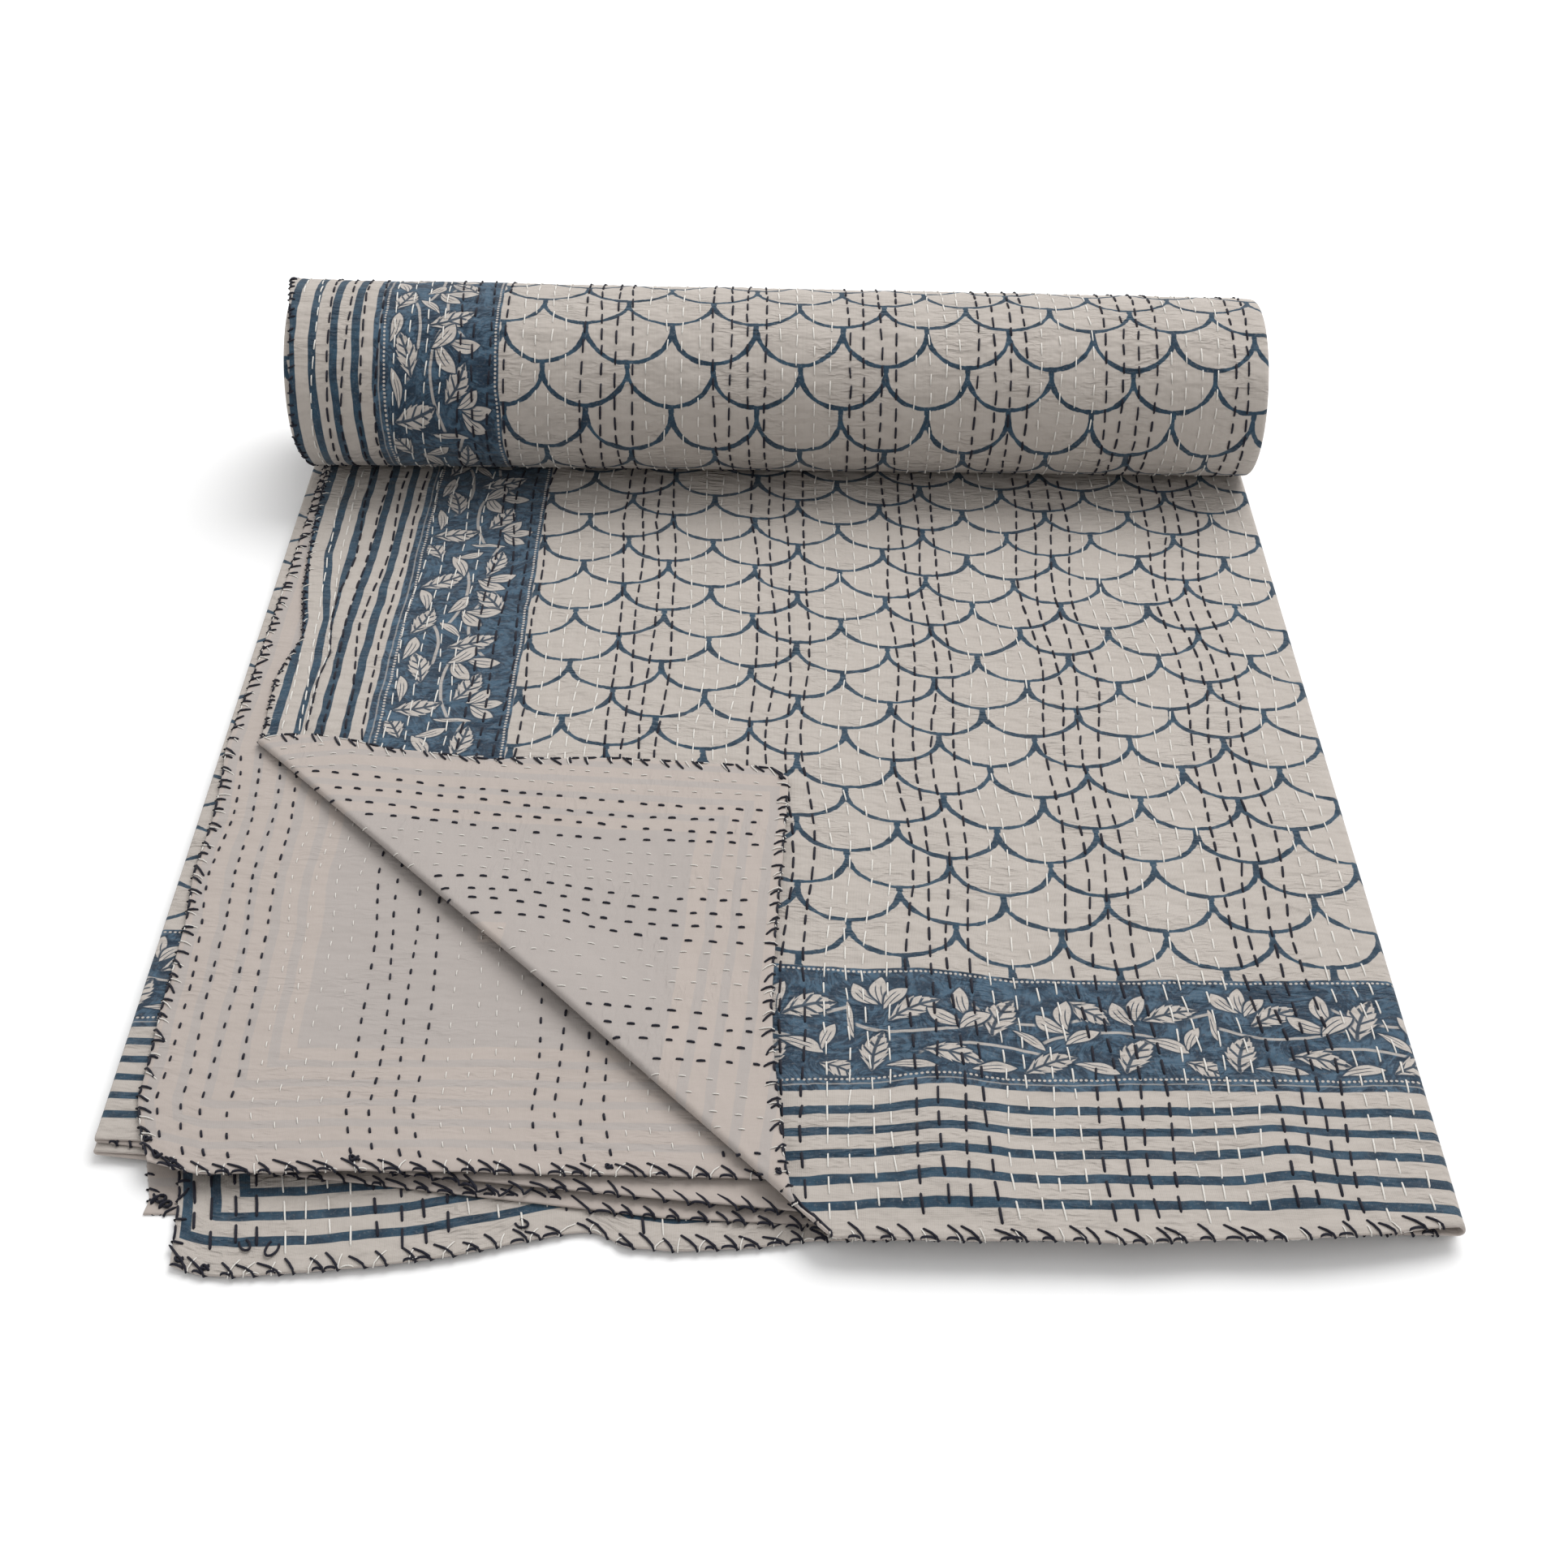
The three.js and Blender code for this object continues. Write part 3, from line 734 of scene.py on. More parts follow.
def score_bend(us, vs, faces):
    """Cuts the flat mesh along lines that run with the bend."""
    mesh = bmesh.new()
    u_layer = mesh.verts.layers.float.new("u")
    v_layer = mesh.verts.layers.float.new("v")
    x, y = flat_xy(us, vs)
    away = (us > STRIPS[1]) | (vs > REST_Y_TOP + 60)
    verts = []
    for index in range(len(us)):
        aside = (us[index] + ASIDE, vs[index] + ASIDE)
        place = aside if away[index] else (x[index], y[index])
        vert = mesh.verts.new((*place, 0.0))
        vert[u_layer], vert[v_layer] = us[index], vs[index]
        verts.append(vert)
    for face in faces:
        mesh.faces.new([verts[i] for i in face])
    for offset in SCORES:
        place = CORNER_LEFT + CORNER_OUT * offset
        near = [f for f in mesh.faces if f.verts[0].co.x < 400 and f.verts[0].co.y < 400]
        edges = {e for f in near for e in f.edges}
        points = {p for f in near for p in f.verts}
        bmesh.ops.bisect_plane(
            mesh,
            geom=list(near) + list(edges) + list(points),
            dist=0.02,
            plane_co=(place[0], place[1], 0.0),
            plane_no=(CORNER_OUT[0], CORNER_OUT[1], 0.0),
        )
    mesh.verts.index_update()
    new_u = np.array([vert[u_layer] for vert in mesh.verts])
    new_v = np.array([vert[v_layer] for vert in mesh.verts])
    new_faces = [tuple(vert.index for vert in face.verts) for face in mesh.faces]
    mesh.free()
    return new_u, new_v, new_faces


cloth_u, cloth_v, cloth_faces = score_bend(flat_u, flat_v, flat_faces)
print("scored cloth:", len(cloth_u), "points,", len(cloth_faces), "faces")

# %% [markdown]
# ### Two sides and a hem
# The folded points are the middle of the cloth. The printed side lies half a thickness along
# the face direction, the plain side half a thickness against it, and a narrow wall closes the
# hem all round. Towards the hem the cloth gets a little thicker, where it is turned in, and it
# is round at the very edge. A UV map in metres tells every point where it lies in the print.
# Short tables of measured places shift the print as unevenly as it was printed.

# %% The printed coordinates
FOURTH_PRINT_SHIFT = 11.0
PRINT_WIDTH = CLOTH_WIDTH + 2 * FOURTH_PRINT_SHIFT
BORDER_REACH = 156.0  # the border of the print lies nearer to the hem than this
# distance of a point of the top layer from the front line, then the place in the print
PRINT_ALONG_TOP = [
    (-20, -16.5), (0, 3.5), (12.2, 16), (25.2, 28.5), (38.8, 41), (51.4, 53.5), (62.5, 66),
    (75, 76.5), (140.5, 149), (148, 157), (574, 586.6), (1300, 1300),
]
# x, then how far the rows of the print run out of true there
PRINT_SKEW = [(-135, 15), (-60, 15), (-20, 13), (13, 9.5), (64, 5), (110, 0), (283, 0)]
# distance along the under half, then the place in the print
PRINT_ALONG_UNDER = [
    (0, 2599.5), (70, 2530), (584, 2043.6), (700, 1913.7), (737.5, 1871.7), (752, 1847.9),
    (768, 1824), (790, 1800.2), (811, 1776.3), (837, 1752.5), (860, 1728.7), (940, 1656),
    (1300, 1300),
]


def print_place(us, vs):
    """Where each point of the cloth lies in the print."""
    first_u = np.minimum(us, STRIPS[1])
    top = vs < HALF_LENGTH
    along = np.where(top, vs, CLOTH_LENGTH - vs)
    x, _ = section(first_u, top.astype(float), along)
    left = print_across(x, vs) + (us - first_u)
    across = mix(left, us + FOURTH_PRINT_SHIFT, ease(STRIPS[1] + 60, STRIPS[6], us))
    _, y = flat_xy(first_u, vs)
    top_along = table_value(PRINT_ALONG_TOP, y) - table_value(PRINT_SKEW, x) * ease(95, 150, y)
    here, _ = section(us, np.zeros_like(us), along)
    hem = front_hem(us, here, np.zeros_like(us, bool))
    from_hem = np.where(along < REST_Y_UNDER, along * (REST_Y_UNDER - hem) / REST_Y_UNDER, along)
    near_hem = CLOTH_LENGTH - 0.5 - 0.98 * from_hem
    further = table_value(PRINT_ALONG_UNDER, along)
    under_along = np.where(along < REST_Y_UNDER, near_hem, further)
    is_first = us < STRIPS[2] + 20
    down = np.where(top, np.where(is_first, top_along, vs), under_along)
    return across, down


def half_thickness(us, vs):
    hem = np.minimum(np.minimum(us, CLOTH_WIDTH - us), np.minimum(vs, CLOTH_LENGTH - vs))
    turned_in = np.exp(-(((hem - 3.0) / 2.2) ** 2))
    return CLOTH_THICKNESS / 2 * (1 + 0.28 * turned_in) * (1 - 0.45 * np.exp(-((hem / 0.6) ** 2)))


# %% Building the cloth
def hem_edges(faces):
    sides = {}
    for face in faces:
        for a, b in zip(face, face[1:] + face[:1]):
            sides[(a, b)] = True
    return [(a, b) for a, b in sides if (b, a) not in sides]


def build_cloth():
    place, _, _, face = cloth_frame(cloth_u, cloth_v)
    half = half_thickness(cloth_u, cloth_v)[:, None]
    count = len(place)
    points = np.concatenate([place + face * half, place - face * half])
    printed = [list(f) for f in cloth_faces]
    plain = [[i + count for i in reversed(f)] for f in cloth_faces]
    walls = [[b, a, a + count, b + count] for a, b in hem_edges(cloth_faces)]
    mesh = bpy.data.meshes.new("bedspread_cloth")
    mesh.from_pydata(to_scene(points).tolist(), [], printed + plain + walls)
    print_x, print_y = print_place(cloth_u, cloth_v)
    corner = np.empty(len(mesh.loops), np.int32)
    mesh.loops.foreach_get("vertex_index", corner)
    corner %= count
    layer = mesh.uv_layers.new(name="cloth_metres")
    layer.data.foreach_set("uv", (np.stack([print_x, print_y], -1)[corner] * MM).ravel())
    edge = np.array([
        min(
            min(print_x[i], PRINT_WIDTH - print_x[i], print_y[i], CLOTH_LENGTH - print_y[i])
            for i in f
        )
        for f in cloth_faces
    ])
    slots = np.where(edge < BORDER_REACH, 1, 0)
    slots = np.concatenate([slots, np.full(len(plain), 2), np.full(len(walls), 2)])
    mesh.polygons.foreach_set("material_index", slots.astype(np.int32))
    mesh.polygons.foreach_set("use_smooth", np.ones(len(mesh.polygons), bool))
    mesh.update()
    return put_in_scene("bedspread_cloth", mesh)


cloth = build_cloth()
triangles = sum(len(p.vertices) - 2 for p in cloth.data.polygons)
area = sum(p.area for p in cloth.data.polygons) / 2
print(f"cloth: {triangles} triangles, {area:.2f} square metres on one side")

# %% [markdown]
# ## Dyes and threads
# Nodes are Blender's way of writing a formula for a finish. Two helpers keep the lesson short:
# one adds a node and plugs in its values, the other is for sums. A value may be a number or the
# output of another node. The rest are small sums that come back in several groups.


# %% Node helpers
def plug(tree, socket, value):
    if isinstance(value, bpy.types.NodeSocket):
        tree.links.new(value, socket)
    elif value is not None:
        socket.default_value = value


def add_node(tree, kind, settings=None, **values):
    new = tree.nodes.new(kind)
    for name, value in (settings or {}).items():
        setattr(new, name, value)
    for name, value in values.items():
        plug(tree, new.inputs[name.replace("_", " ")], value)
    return new


def sums(tree):
    """A short way to write sums: s('ADD', a, b)."""

    def one(operation, *values):
        new = tree.nodes.new("ShaderNodeMath")
        new.operation = operation
        for socket, value in zip(new.inputs, values):
            plug(tree, socket, value)
        return new.outputs[0]

    return one


def step_between(tree, value, start, end):
    """0 up to start, 1 from end, smooth between them. It runs down where end is below start."""
    new = add_node(
        tree, "ShaderNodeMapRange", {"interpolation_type": "SMOOTHSTEP"}, Value=value,
        From_Min=min(start, end), From_Max=max(start, end),
        To_Min=float(start >= end), To_Max=float(start < end),
    )
    return new.outputs["Result"]


def noise(tree, vector, scale, detail=2.0, roughness=0.5):
    return add_node(tree, "ShaderNodeTexNoise", {"noise_dimensions": "3D"},
                    Vector=vector, Scale=scale, Detail=detail, Roughness=roughness)


def parts(tree, vector):
    """The x and y of a vector."""
    split = add_node(tree, "ShaderNodeSeparateXYZ", Vector=vector)
    return split.outputs["X"], split.outputs["Y"]


def length_of(s, x, y):
    return s("SQRT", s("ADD", s("MULTIPLY", x, x), s("MULTIPLY", y, y)))


def repeated(s, value, pitch):
    """Runs from minus half a pitch to plus half a pitch, again and again."""
    return s("SUBTRACT", s("FLOORED_MODULO", value, pitch), pitch / 2)


def start_group(name, inputs, outputs):
    tree = bpy.data.node_groups.new(name, "ShaderNodeTree")
    for socket_name, kind, value in inputs:
        socket = tree.interface.new_socket(socket_name, in_out="INPUT", socket_type=kind)
        if value is not None:
            socket.default_value = value
    for socket_name, kind in outputs:
        tree.interface.new_socket(socket_name, in_out="OUTPUT", socket_type=kind)
    return tree, tree.nodes.new("NodeGroupInput").outputs, tree.nodes.new("NodeGroupOutput").inputs


def use_group(tree, group, **values):
    new = tree.nodes.new("ShaderNodeGroup")
    new.node_tree = group
    for name, value in values.items():
        plug(tree, new.inputs[name.replace("_", " ")], value)
    return new.outputs


VECTOR, FLOAT = "NodeSocketVector", "NodeSocketFloat"

# %% [markdown]
# ### Weave and crumple
# Seen close, plain cotton is a net of threads that go over and under each other. Two waves at
# right angles give it. Three things come on top: long thick places in the yarn that run along
# the cloth, soft dents, and the small sharp puckers that hand quilting leaves. Those run across
# the rows of stitches, and only in patches. The group puts out a height, so that each material
# can feed it to its own bump, and the shade of the threads.


# %% Group: cotton surface
def squeezed(tree, place, across, along):
    """The same place with its two directions stretched, so that a noise comes out long."""
    new = add_node(tree, "ShaderNodeMapping", {"vector_type": "POINT"}, Vector=place)
    new.inputs["Scale"].default_value = (across, along, 1.0)
    return new.outputs["Vector"]


def make_cotton_surface():
    tree, given, result = start_group(
        "cotton_surface",
        [("Place", VECTOR, None), ("Thread", FLOAT, 0.00055), ("Pucker", FLOAT, 1.0)],
        [("Height", FLOAT), ("Shade", FLOAT)],
    )
    s = sums(tree)
    place = given["Place"]
    rate = s("DIVIDE", math.pi, given["Thread"])
    warp, weft = [s("ABSOLUTE", s("SINE", s("MULTIPLY", way, rate))) for way in parts(tree, place)]
    weave = s("MULTIPLY", s("ADD", warp, weft), 0.5)
    slub = noise(tree, squeezed(tree, place, 1.0, 0.035), 620.0, 2.0, 0.6).outputs["Fac"]
    bent = noise(tree, place, 60.0, 1.0)
    spread = add_node(tree, "ShaderNodeVectorMath", {"operation": "MULTIPLY_ADD"})
    plug(tree, spread.inputs[0], bent.outputs["Color"])
    spread.inputs[1].default_value = (0.006, 0.006, 0.006)
    plug(tree, spread.inputs[2], squeezed(tree, place, 0.55, 1.9))
    ridges = noise(tree, spread.outputs["Vector"], 120.0, 2.0, 0.5).outputs["Fac"]
    sharp = s("SUBTRACT", 1.0, s("ABSOLUTE", s("MULTIPLY_ADD", ridges, 6.0, -3.0)))
    patch = step_between(tree, noise(tree, place, 30.0, 1.0).outputs["Fac"], 0.4, 0.66)
    sharp = s("MULTIPLY", s("MAXIMUM", sharp, 0.0), patch)
    soft = noise(tree, squeezed(tree, place, 0.7, 1.3), 75.0, 2.0).outputs["Fac"]
    crumple = s("MULTIPLY_ADD", sharp, 0.26, s("MULTIPLY", soft, 1.25))
    crumple = s("MULTIPLY", crumple, given["Pucker"])
    fine = s("MULTIPLY_ADD", weave, 0.05, s("MULTIPLY", slub, 0.07))
    plug(tree, result["Height"], s("ADD", fine, crumple))
    plug(tree, result["Shade"], s("MULTIPLY_ADD", weave, 0.25, s("MULTIPLY", slub, 0.75)))
    return tree


cotton_surface = make_cotton_surface()
print("group:", cotton_surface.name)

# %% [markdown]
# ### Where am I on the cloth?
# The print has a border that runs round the whole cloth and turns at its corners. So the first
# question for any point is how far it is from the nearest hem, and how far along that hem. A
# little noise bends both, because the print was set down by hand, block after block.


# %% Group: place in the border
WOBBLE = 3.6  # millimetres


def make_border_place():
    tree, given, result = start_group(
        "border_place",
        [("Place", VECTOR, None), ("Unevenness", FLOAT, 1.0)],
        [("From hem", FLOAT), ("Along hem", FLOAT), ("Across", FLOAT), ("Down", FLOAT)],
    )
    s = sums(tree)
    wobbles = parts(tree, noise(tree, given["Place"], 30.0, 2.0).outputs["Color"])
    strength = s("MULTIPLY", given["Unevenness"], WOBBLE)
    across, down = [
        s("MULTIPLY_ADD", s("SUBTRACT", wobble, 0.5), strength, s("MULTIPLY", way, 1 / MM))
        for wobble, way in zip(wobbles, parts(tree, given["Place"]))
    ]
    side = s("MINIMUM", across, s("SUBTRACT", PRINT_WIDTH, across))
    end = s("MINIMUM", down, s("SUBTRACT", CLOTH_LENGTH, down))
    is_side = s("LESS_THAN", side, end)
    plug(tree, result["From hem"], s("MINIMUM", side, end))
    is_end = s("SUBTRACT", 1.0, is_side)
    along = s("ADD", s("MULTIPLY", is_side, down), s("MULTIPLY", is_end, across))
    plug(tree, result["Along hem"], along)
    plug(tree, result["Across"], across)
    plug(tree, result["Down"], down)
    return tree


border_place = make_border_place()
print("group:", border_place.name)

# %% [markdown]
# ### The scalloped field
# The field is covered with rows of scallops like fish scales. Each scallop is half an ellipse,
# and every other row is shifted by half a scallop, so that the points where two scallops meet
# touch the bottom of one in the next row. Ink gathers in those points and fills them.

# %% Group: scallops
SCALLOP_WIDTH = 48.7
SCALLOP_PITCH = 23.85
SCALLOP_DEPTH = 20.5
SCALLOP_MIDDLE = 151.5  # a place across the print where a scallop of an even row has its middle
SCALLOP_FOOT = 157.0  # a place along the print where the even rows have their lowest points
SCALLOP_HALF = SCALLOP_WIDTH / 2
LINE_BLUR = 0.22
# where ink fills the point between two scallops, and the short stem under it: from the middle of
# the scallop, and up from its ends
POINT_WIDTH, POINT_UP = (19.6, 20.8), (-8.6, -7.2)
STEM_WIDTH, STEM_UP = (1.9, 1.3), (-19.0, -20.0)


def make_scallops():
    tree, given, result = start_group(
        "scallops",
        [("Across", FLOAT, 0.0), ("Down", FLOAT, 0.0), ("Line", FLOAT, 1.0)],
        [("Ink", FLOAT)],
    )
    s = sums(tree)
    first_row = SCALLOP_FOOT - (SCALLOP_PITCH - SCALLOP_DEPTH) - 8 * SCALLOP_PITCH
    down = s("SUBTRACT", given["Down"], first_row)
    row = s("FLOOR", s("DIVIDE", down, SCALLOP_PITCH))
    odd = s("MODULO", row, 2.0)
    up = s("SUBTRACT", s("SUBTRACT", down, s("MULTIPLY", row, SCALLOP_PITCH)), SCALLOP_PITCH)
    start = s("ADD", given["Across"], SCALLOP_HALF - SCALLOP_MIDDLE)
    sideways = repeated(s, s("MULTIPLY_ADD", odd, SCALLOP_HALF, start), SCALLOP_WIDTH)
    reach = length_of(s, s("DIVIDE", sideways, SCALLOP_HALF), s("DIVIDE", up, SCALLOP_DEPTH))
    off = s("MULTIPLY", s("SUBTRACT", reach, 1.0), (SCALLOP_HALF + SCALLOP_DEPTH) / 2)
    from_line = s("SUBTRACT", s("ABSOLUTE", off), given["Line"])
    arc = step_between(tree, from_line, LINE_BLUR, -LINE_BLUR)
    width = s("ABSOLUTE", sideways)
    in_point = s("MULTIPLY", step_between(tree, off, -0.6, 0.2), step_between(tree, up, *POINT_UP))
    point = s("MULTIPLY", in_point, step_between(tree, width, *POINT_WIDTH))
    stem = s("MULTIPLY", step_between(tree, width, *STEM_WIDTH), step_between(tree, up, *STEM_UP))
    plug(tree, result["Ink"], s("MAXIMUM", arc, s("MAXIMUM", point, stem)))
    return tree


scallops = make_scallops()
print("group:", scallops.name)

# %% [markdown]
# ### Stripes, dotted lines and the band
# From the hem inwards the border has five narrow stripes, then a broad blue band with a dotted
# line near each of its edges. All of them depend only on the distance from the hem.

# %% Group: border lines
STRIPE_START = 16.0
STRIPE_PITCH = 12.5
STRIPE_HALF = 2.3
BAND_START = 76.0
BAND_END = 149.0
BLOCK_BLUR = 0.3
DOT_PITCH = 2.3
DOT_LINES = (82.6, 147.0)
THIN_LINE = 79.6


def make_border_lines():
    tree, given, result = start_group(
        "border_lines", [("From hem", FLOAT, 0.0), ("Along hem", FLOAT, 0.0)],
        [("Blue", FLOAT), ("Cream", FLOAT), ("Band", FLOAT)],
    )
    s = sums(tree)
    d = given["From hem"]
    local = repeated(s, s("SUBTRACT", d, STRIPE_START - STRIPE_PITCH / 2), STRIPE_PITCH)
    stripe = step_between(tree, s("ABSOLUTE", local), STRIPE_HALF + 0.2, STRIPE_HALF - 0.2)
    past_hem = s("GREATER_THAN", d, STRIPE_START - 6)
    in_stripes = s("MULTIPLY", past_hem, s("LESS_THAN", d, BAND_START - 4))
    band = s("MULTIPLY", step_between(tree, d, BAND_START - BLOCK_BLUR, BAND_START + BLOCK_BLUR),
             step_between(tree, d, BAND_END + BLOCK_BLUR, BAND_END - BLOCK_BLUR))
    dot_place = repeated(s, given["Along hem"], DOT_PITCH)
    dots = s("MAXIMUM", *[
        step_between(tree, length_of(s, s("SUBTRACT", d, middle), dot_place), 0.85, 0.55)
        for middle in DOT_LINES
    ])
    thin = step_between(tree, s("ABSOLUTE", s("SUBTRACT", d, THIN_LINE)), 0.55, 0.3)
    plug(tree, result["Blue"], s("MAXIMUM", s("MULTIPLY", stripe, in_stripes), band))
    plug(tree, result["Cream"], s("MAXIMUM", dots, s("MULTIPLY", thin, 0.45)))
    plug(tree, result["Band"], band)
    return tree


border_lines = make_border_lines()
print("group:", border_lines.name)

# %% [markdown]
# ### Leaves and flowers
# The band is filled with cut-block leaves and flowers in the colour of the cloth. A leaf is two
# bowed sides with a saw-toothed edge and dark veins, a petal is a plain smaller one with a
# single line in it. Both are groups that work in their own little square from -1 to 1, and short
# tables set them out in one repeat of the block. Three petals spread like a fan make a flower.


# %% Group: leaf
MOTIF_RESULTS = [("Shape", FLOAT), ("Vein", FLOAT), ("Halo", FLOAT)]


def start_motif(name, bow, more=()):
    """A group with its place along the motif, and how far that is from the bowed middle line."""
    tree, given, result = start_group(name, [("Place", VECTOR, None), *more], MOTIF_RESULTS)
    s = sums(tree)
    x, y = parts(tree, given["Place"])
    square = s("MULTIPLY", x, x)
    wide = s("ABSOLUTE", s("MULTIPLY_ADD", square, bow, y))
    return tree, given, result, s, x, square, wide


def finish_motif(tree, result, square, inside, edge, halo):
    """The shape and the dark line round it, from how far inside the outline a point is."""
    s = sums(tree)
    near = s("LESS_THAN", square, 1.1)
    plug(tree, result["Shape"], s("MULTIPLY", near, step_between(tree, inside, *edge)))
    plug(tree, result["Halo"], s("MULTIPLY", near, step_between(tree, inside, *halo)))


def make_leaf():
    tree, given, result, s, x, square, wide = start_motif("leaf", 0.25, [("Teeth", FLOAT, 0.24)])
    tooth = s("FRACT", s("MULTIPLY_ADD", wide, -0.9, s("MULTIPLY", x, 3.3)))
    profile = s("MAXIMUM", s("SUBTRACT", 1.0, square), -0.4)
    heavier = s("MULTIPLY_ADD", s("MINIMUM", s("ABSOLUTE", x), 1.0), -0.2, 1.0)
    toothed = s("MULTIPLY", heavier, s("MULTIPLY_ADD", tooth, given["Teeth"], 0.84))
    inside = s("SUBTRACT", s("MULTIPLY", profile, toothed), wide)
    finish_motif(tree, result, square, inside, (-0.04, 0.06), (-0.42, -0.12))
    rib = step_between(tree, wide, 0.17, 0.08)
    slanted = s("FRACT", s("MULTIPLY_ADD", wide, -1.1, s("MULTIPLY", x, 2.2)))
    slanted = s("ABSOLUTE", s("SUBTRACT", slanted, 0.5))
    branch = s("MULTIPLY", step_between(tree, slanted, 0.19, 0.1),
               step_between(tree, inside, 0.06, 0.2))
    plug(tree, result["Vein"], s("MAXIMUM", rib, branch))
    return tree


leaf = make_leaf()


# %% Group: petal
def make_petal():
    tree, _, result, s, x, square, wide = start_motif("petal", 0.45)
    profile = s("MAXIMUM", s("SUBTRACT", 1.0, square), -0.4)
    inside = s("SUBTRACT", s("MULTIPLY", profile, s("MULTIPLY_ADD", x, 0.3, 0.95)), wide)
    finish_motif(tree, result, square, inside, (-0.05, 0.08), (-0.5, -0.15))
    line = s("MULTIPLY", step_between(tree, s("ABSOLUTE", s("SUBTRACT", wide, 0.3)), 0.1, 0.04),
             step_between(tree, x, 0.55, 0.25))
    plug(tree, result["Vein"], line)
    return tree


petal = make_petal()
print("groups:", leaf.name, petal.name)

# %% Group: sprig band
REPEAT = 160.0
BAND_MIDDLE = 113.5
SPREAD = 1.25  # the table is drawn a little small
LARGER = 1.13
# along the hem, up from the band's middle, turn in degrees, half length, half width
LEAVES = [
    (-69, -11, 74, 11.0, 5.8),
    (-51, 9, 28, 11.5, 5.4),
    (-34, -14, -16, 12.0, 5.2),
    (-13, 7, 66, 12.5, 6.2),
    (7, -16, 22, 11.5, 5.2),
    (27, 11, -38, 11.0, 5.4),
    (45, -12, 60, 12.0, 6.0),
    (63, 10, 14, 11.5, 5.2),
    (76, -19, -32, 9.0, 4.6),
]
PETALS = [
    (-73, 15, 128, 7.5, 3.4), (-66, 17, 92, 8.0, 3.4), (-60, 14, 48, 7.0, 3.2),
    (-37, 3, 150, 9.0, 3.8), (-30, 12, 98, 8.5, 3.6), (-25, 4, 40, 8.5, 3.6),
    (-18, -19, 12, 9.0, 3.0), (9, 3, 140, 8.0, 3.6), (15, 9, 88, 8.5, 3.6), (22, -2, 30, 8.0, 3.2),
    (28, -18, -20, 9.0, 3.0), (41, 9, 118, 8.0, 3.4), (48, 13, 76, 8.0, 3.4), (60, -6, -25, 9.0, 3.2),
    (-53, -19, -8, 10.0, 2.4), (0, -4, -42, 8.0, 2.2), (-80, 4, 95, 9.0, 2.6), (70, -3, 66, 7.0, 2.6),
]
# the middle of a bowed stem, its radius
STEMS = [(-48, 62, 66), (34, -60, 60), (4, 48, 44), (-20, -72, 62), (60, 60, 52)]
MOTIFS_START, MOTIFS_END = 85, 143.5


def make_sprigs():
    tree, given, result = start_group(
        "sprig_band", [("Along hem", FLOAT, 0.0), ("From hem", FLOAT, 0.0)], MOTIF_RESULTS
    )
    s = sums(tree)
    along = repeated(s, given["Along hem"], REPEAT)
    high = s("SUBTRACT", given["From hem"], BAND_MIDDLE)
    place = add_node(tree, "ShaderNodeCombineXYZ", X=along, Y=high).outputs["Vector"]
    shape = vein = halo = None
    for kind, table in ((leaf, LEAVES), (petal, PETALS)):
        for x, y, turn, length, width in table:
            put = add_node(tree, "ShaderNodeMapping", {"vector_type": "TEXTURE"}, Vector=place)
            put.inputs["Location"].default_value = (x, SPREAD * y, 0.0)
            put.inputs["Rotation"].default_value = (0.0, 0.0, math.radians(turn))
            put.inputs["Scale"].default_value = (LARGER * length, LARGER * width, 1.0)
            motif = use_group(tree, kind, Place=put.outputs["Vector"])
            if shape is None:
                shape, halo = motif["Shape"], motif["Halo"]
                vein = s("MULTIPLY", motif["Shape"], motif["Vein"])
                continue
            # a later motif lies on the earlier ones, with a thin dark outline round it
            clear = s("SUBTRACT", 1.0, motif["Halo"])
            shape = s("MAXIMUM", s("MULTIPLY", shape, clear), motif["Shape"])
            vein = s("MULTIPLY_ADD", vein, clear, s("MULTIPLY", motif["Shape"], motif["Vein"]))
            halo = s("MAXIMUM", halo, motif["Halo"])
    stems = None
    for x, y, radius in STEMS:
        dx, dy = s("SUBTRACT", along, x), s("SUBTRACT", high, y)
        away = s("SUBTRACT", length_of(s, dx, dy), radius)
        kept = s("MULTIPLY", step_between(tree, s("ABSOLUTE", away), 1.1, 0.55),
                 step_between(tree, s("ABSOLUTE", dx), 30.0, 27.0))
        stems = kept if stems is None else s("MAXIMUM", stems, kept)
    stems = s("MULTIPLY", s("MULTIPLY", stems, 0.8), s("SUBTRACT", 1.0, halo))
    past_start = step_between(tree, given["From hem"], MOTIFS_START - 0.5, MOTIFS_START + 0.5)
    before_end = step_between(tree, given["From hem"], MOTIFS_END + 0.5, MOTIFS_END - 0.5)
    in_band = s("MULTIPLY", past_start, before_end)
    plug(tree, result["Shape"], s("MULTIPLY", s("MAXIMUM", shape, stems), in_band))
    plug(tree, result["Vein"], vein)
    plug(tree, result["Halo"], halo)
    return tree


sprigs = make_sprigs()
print("group:", sprigs.name, "with", len(sprigs.nodes), "nodes")

# %% [markdown]
# ### Uneven dye
# Block-printed dye is never even: it pools in soft clouds, starves along the threads, and the
# broad band is brushed with paler and darker streaks. The group gives a cloudy value, a streaky
# one, and one for the starved specks.


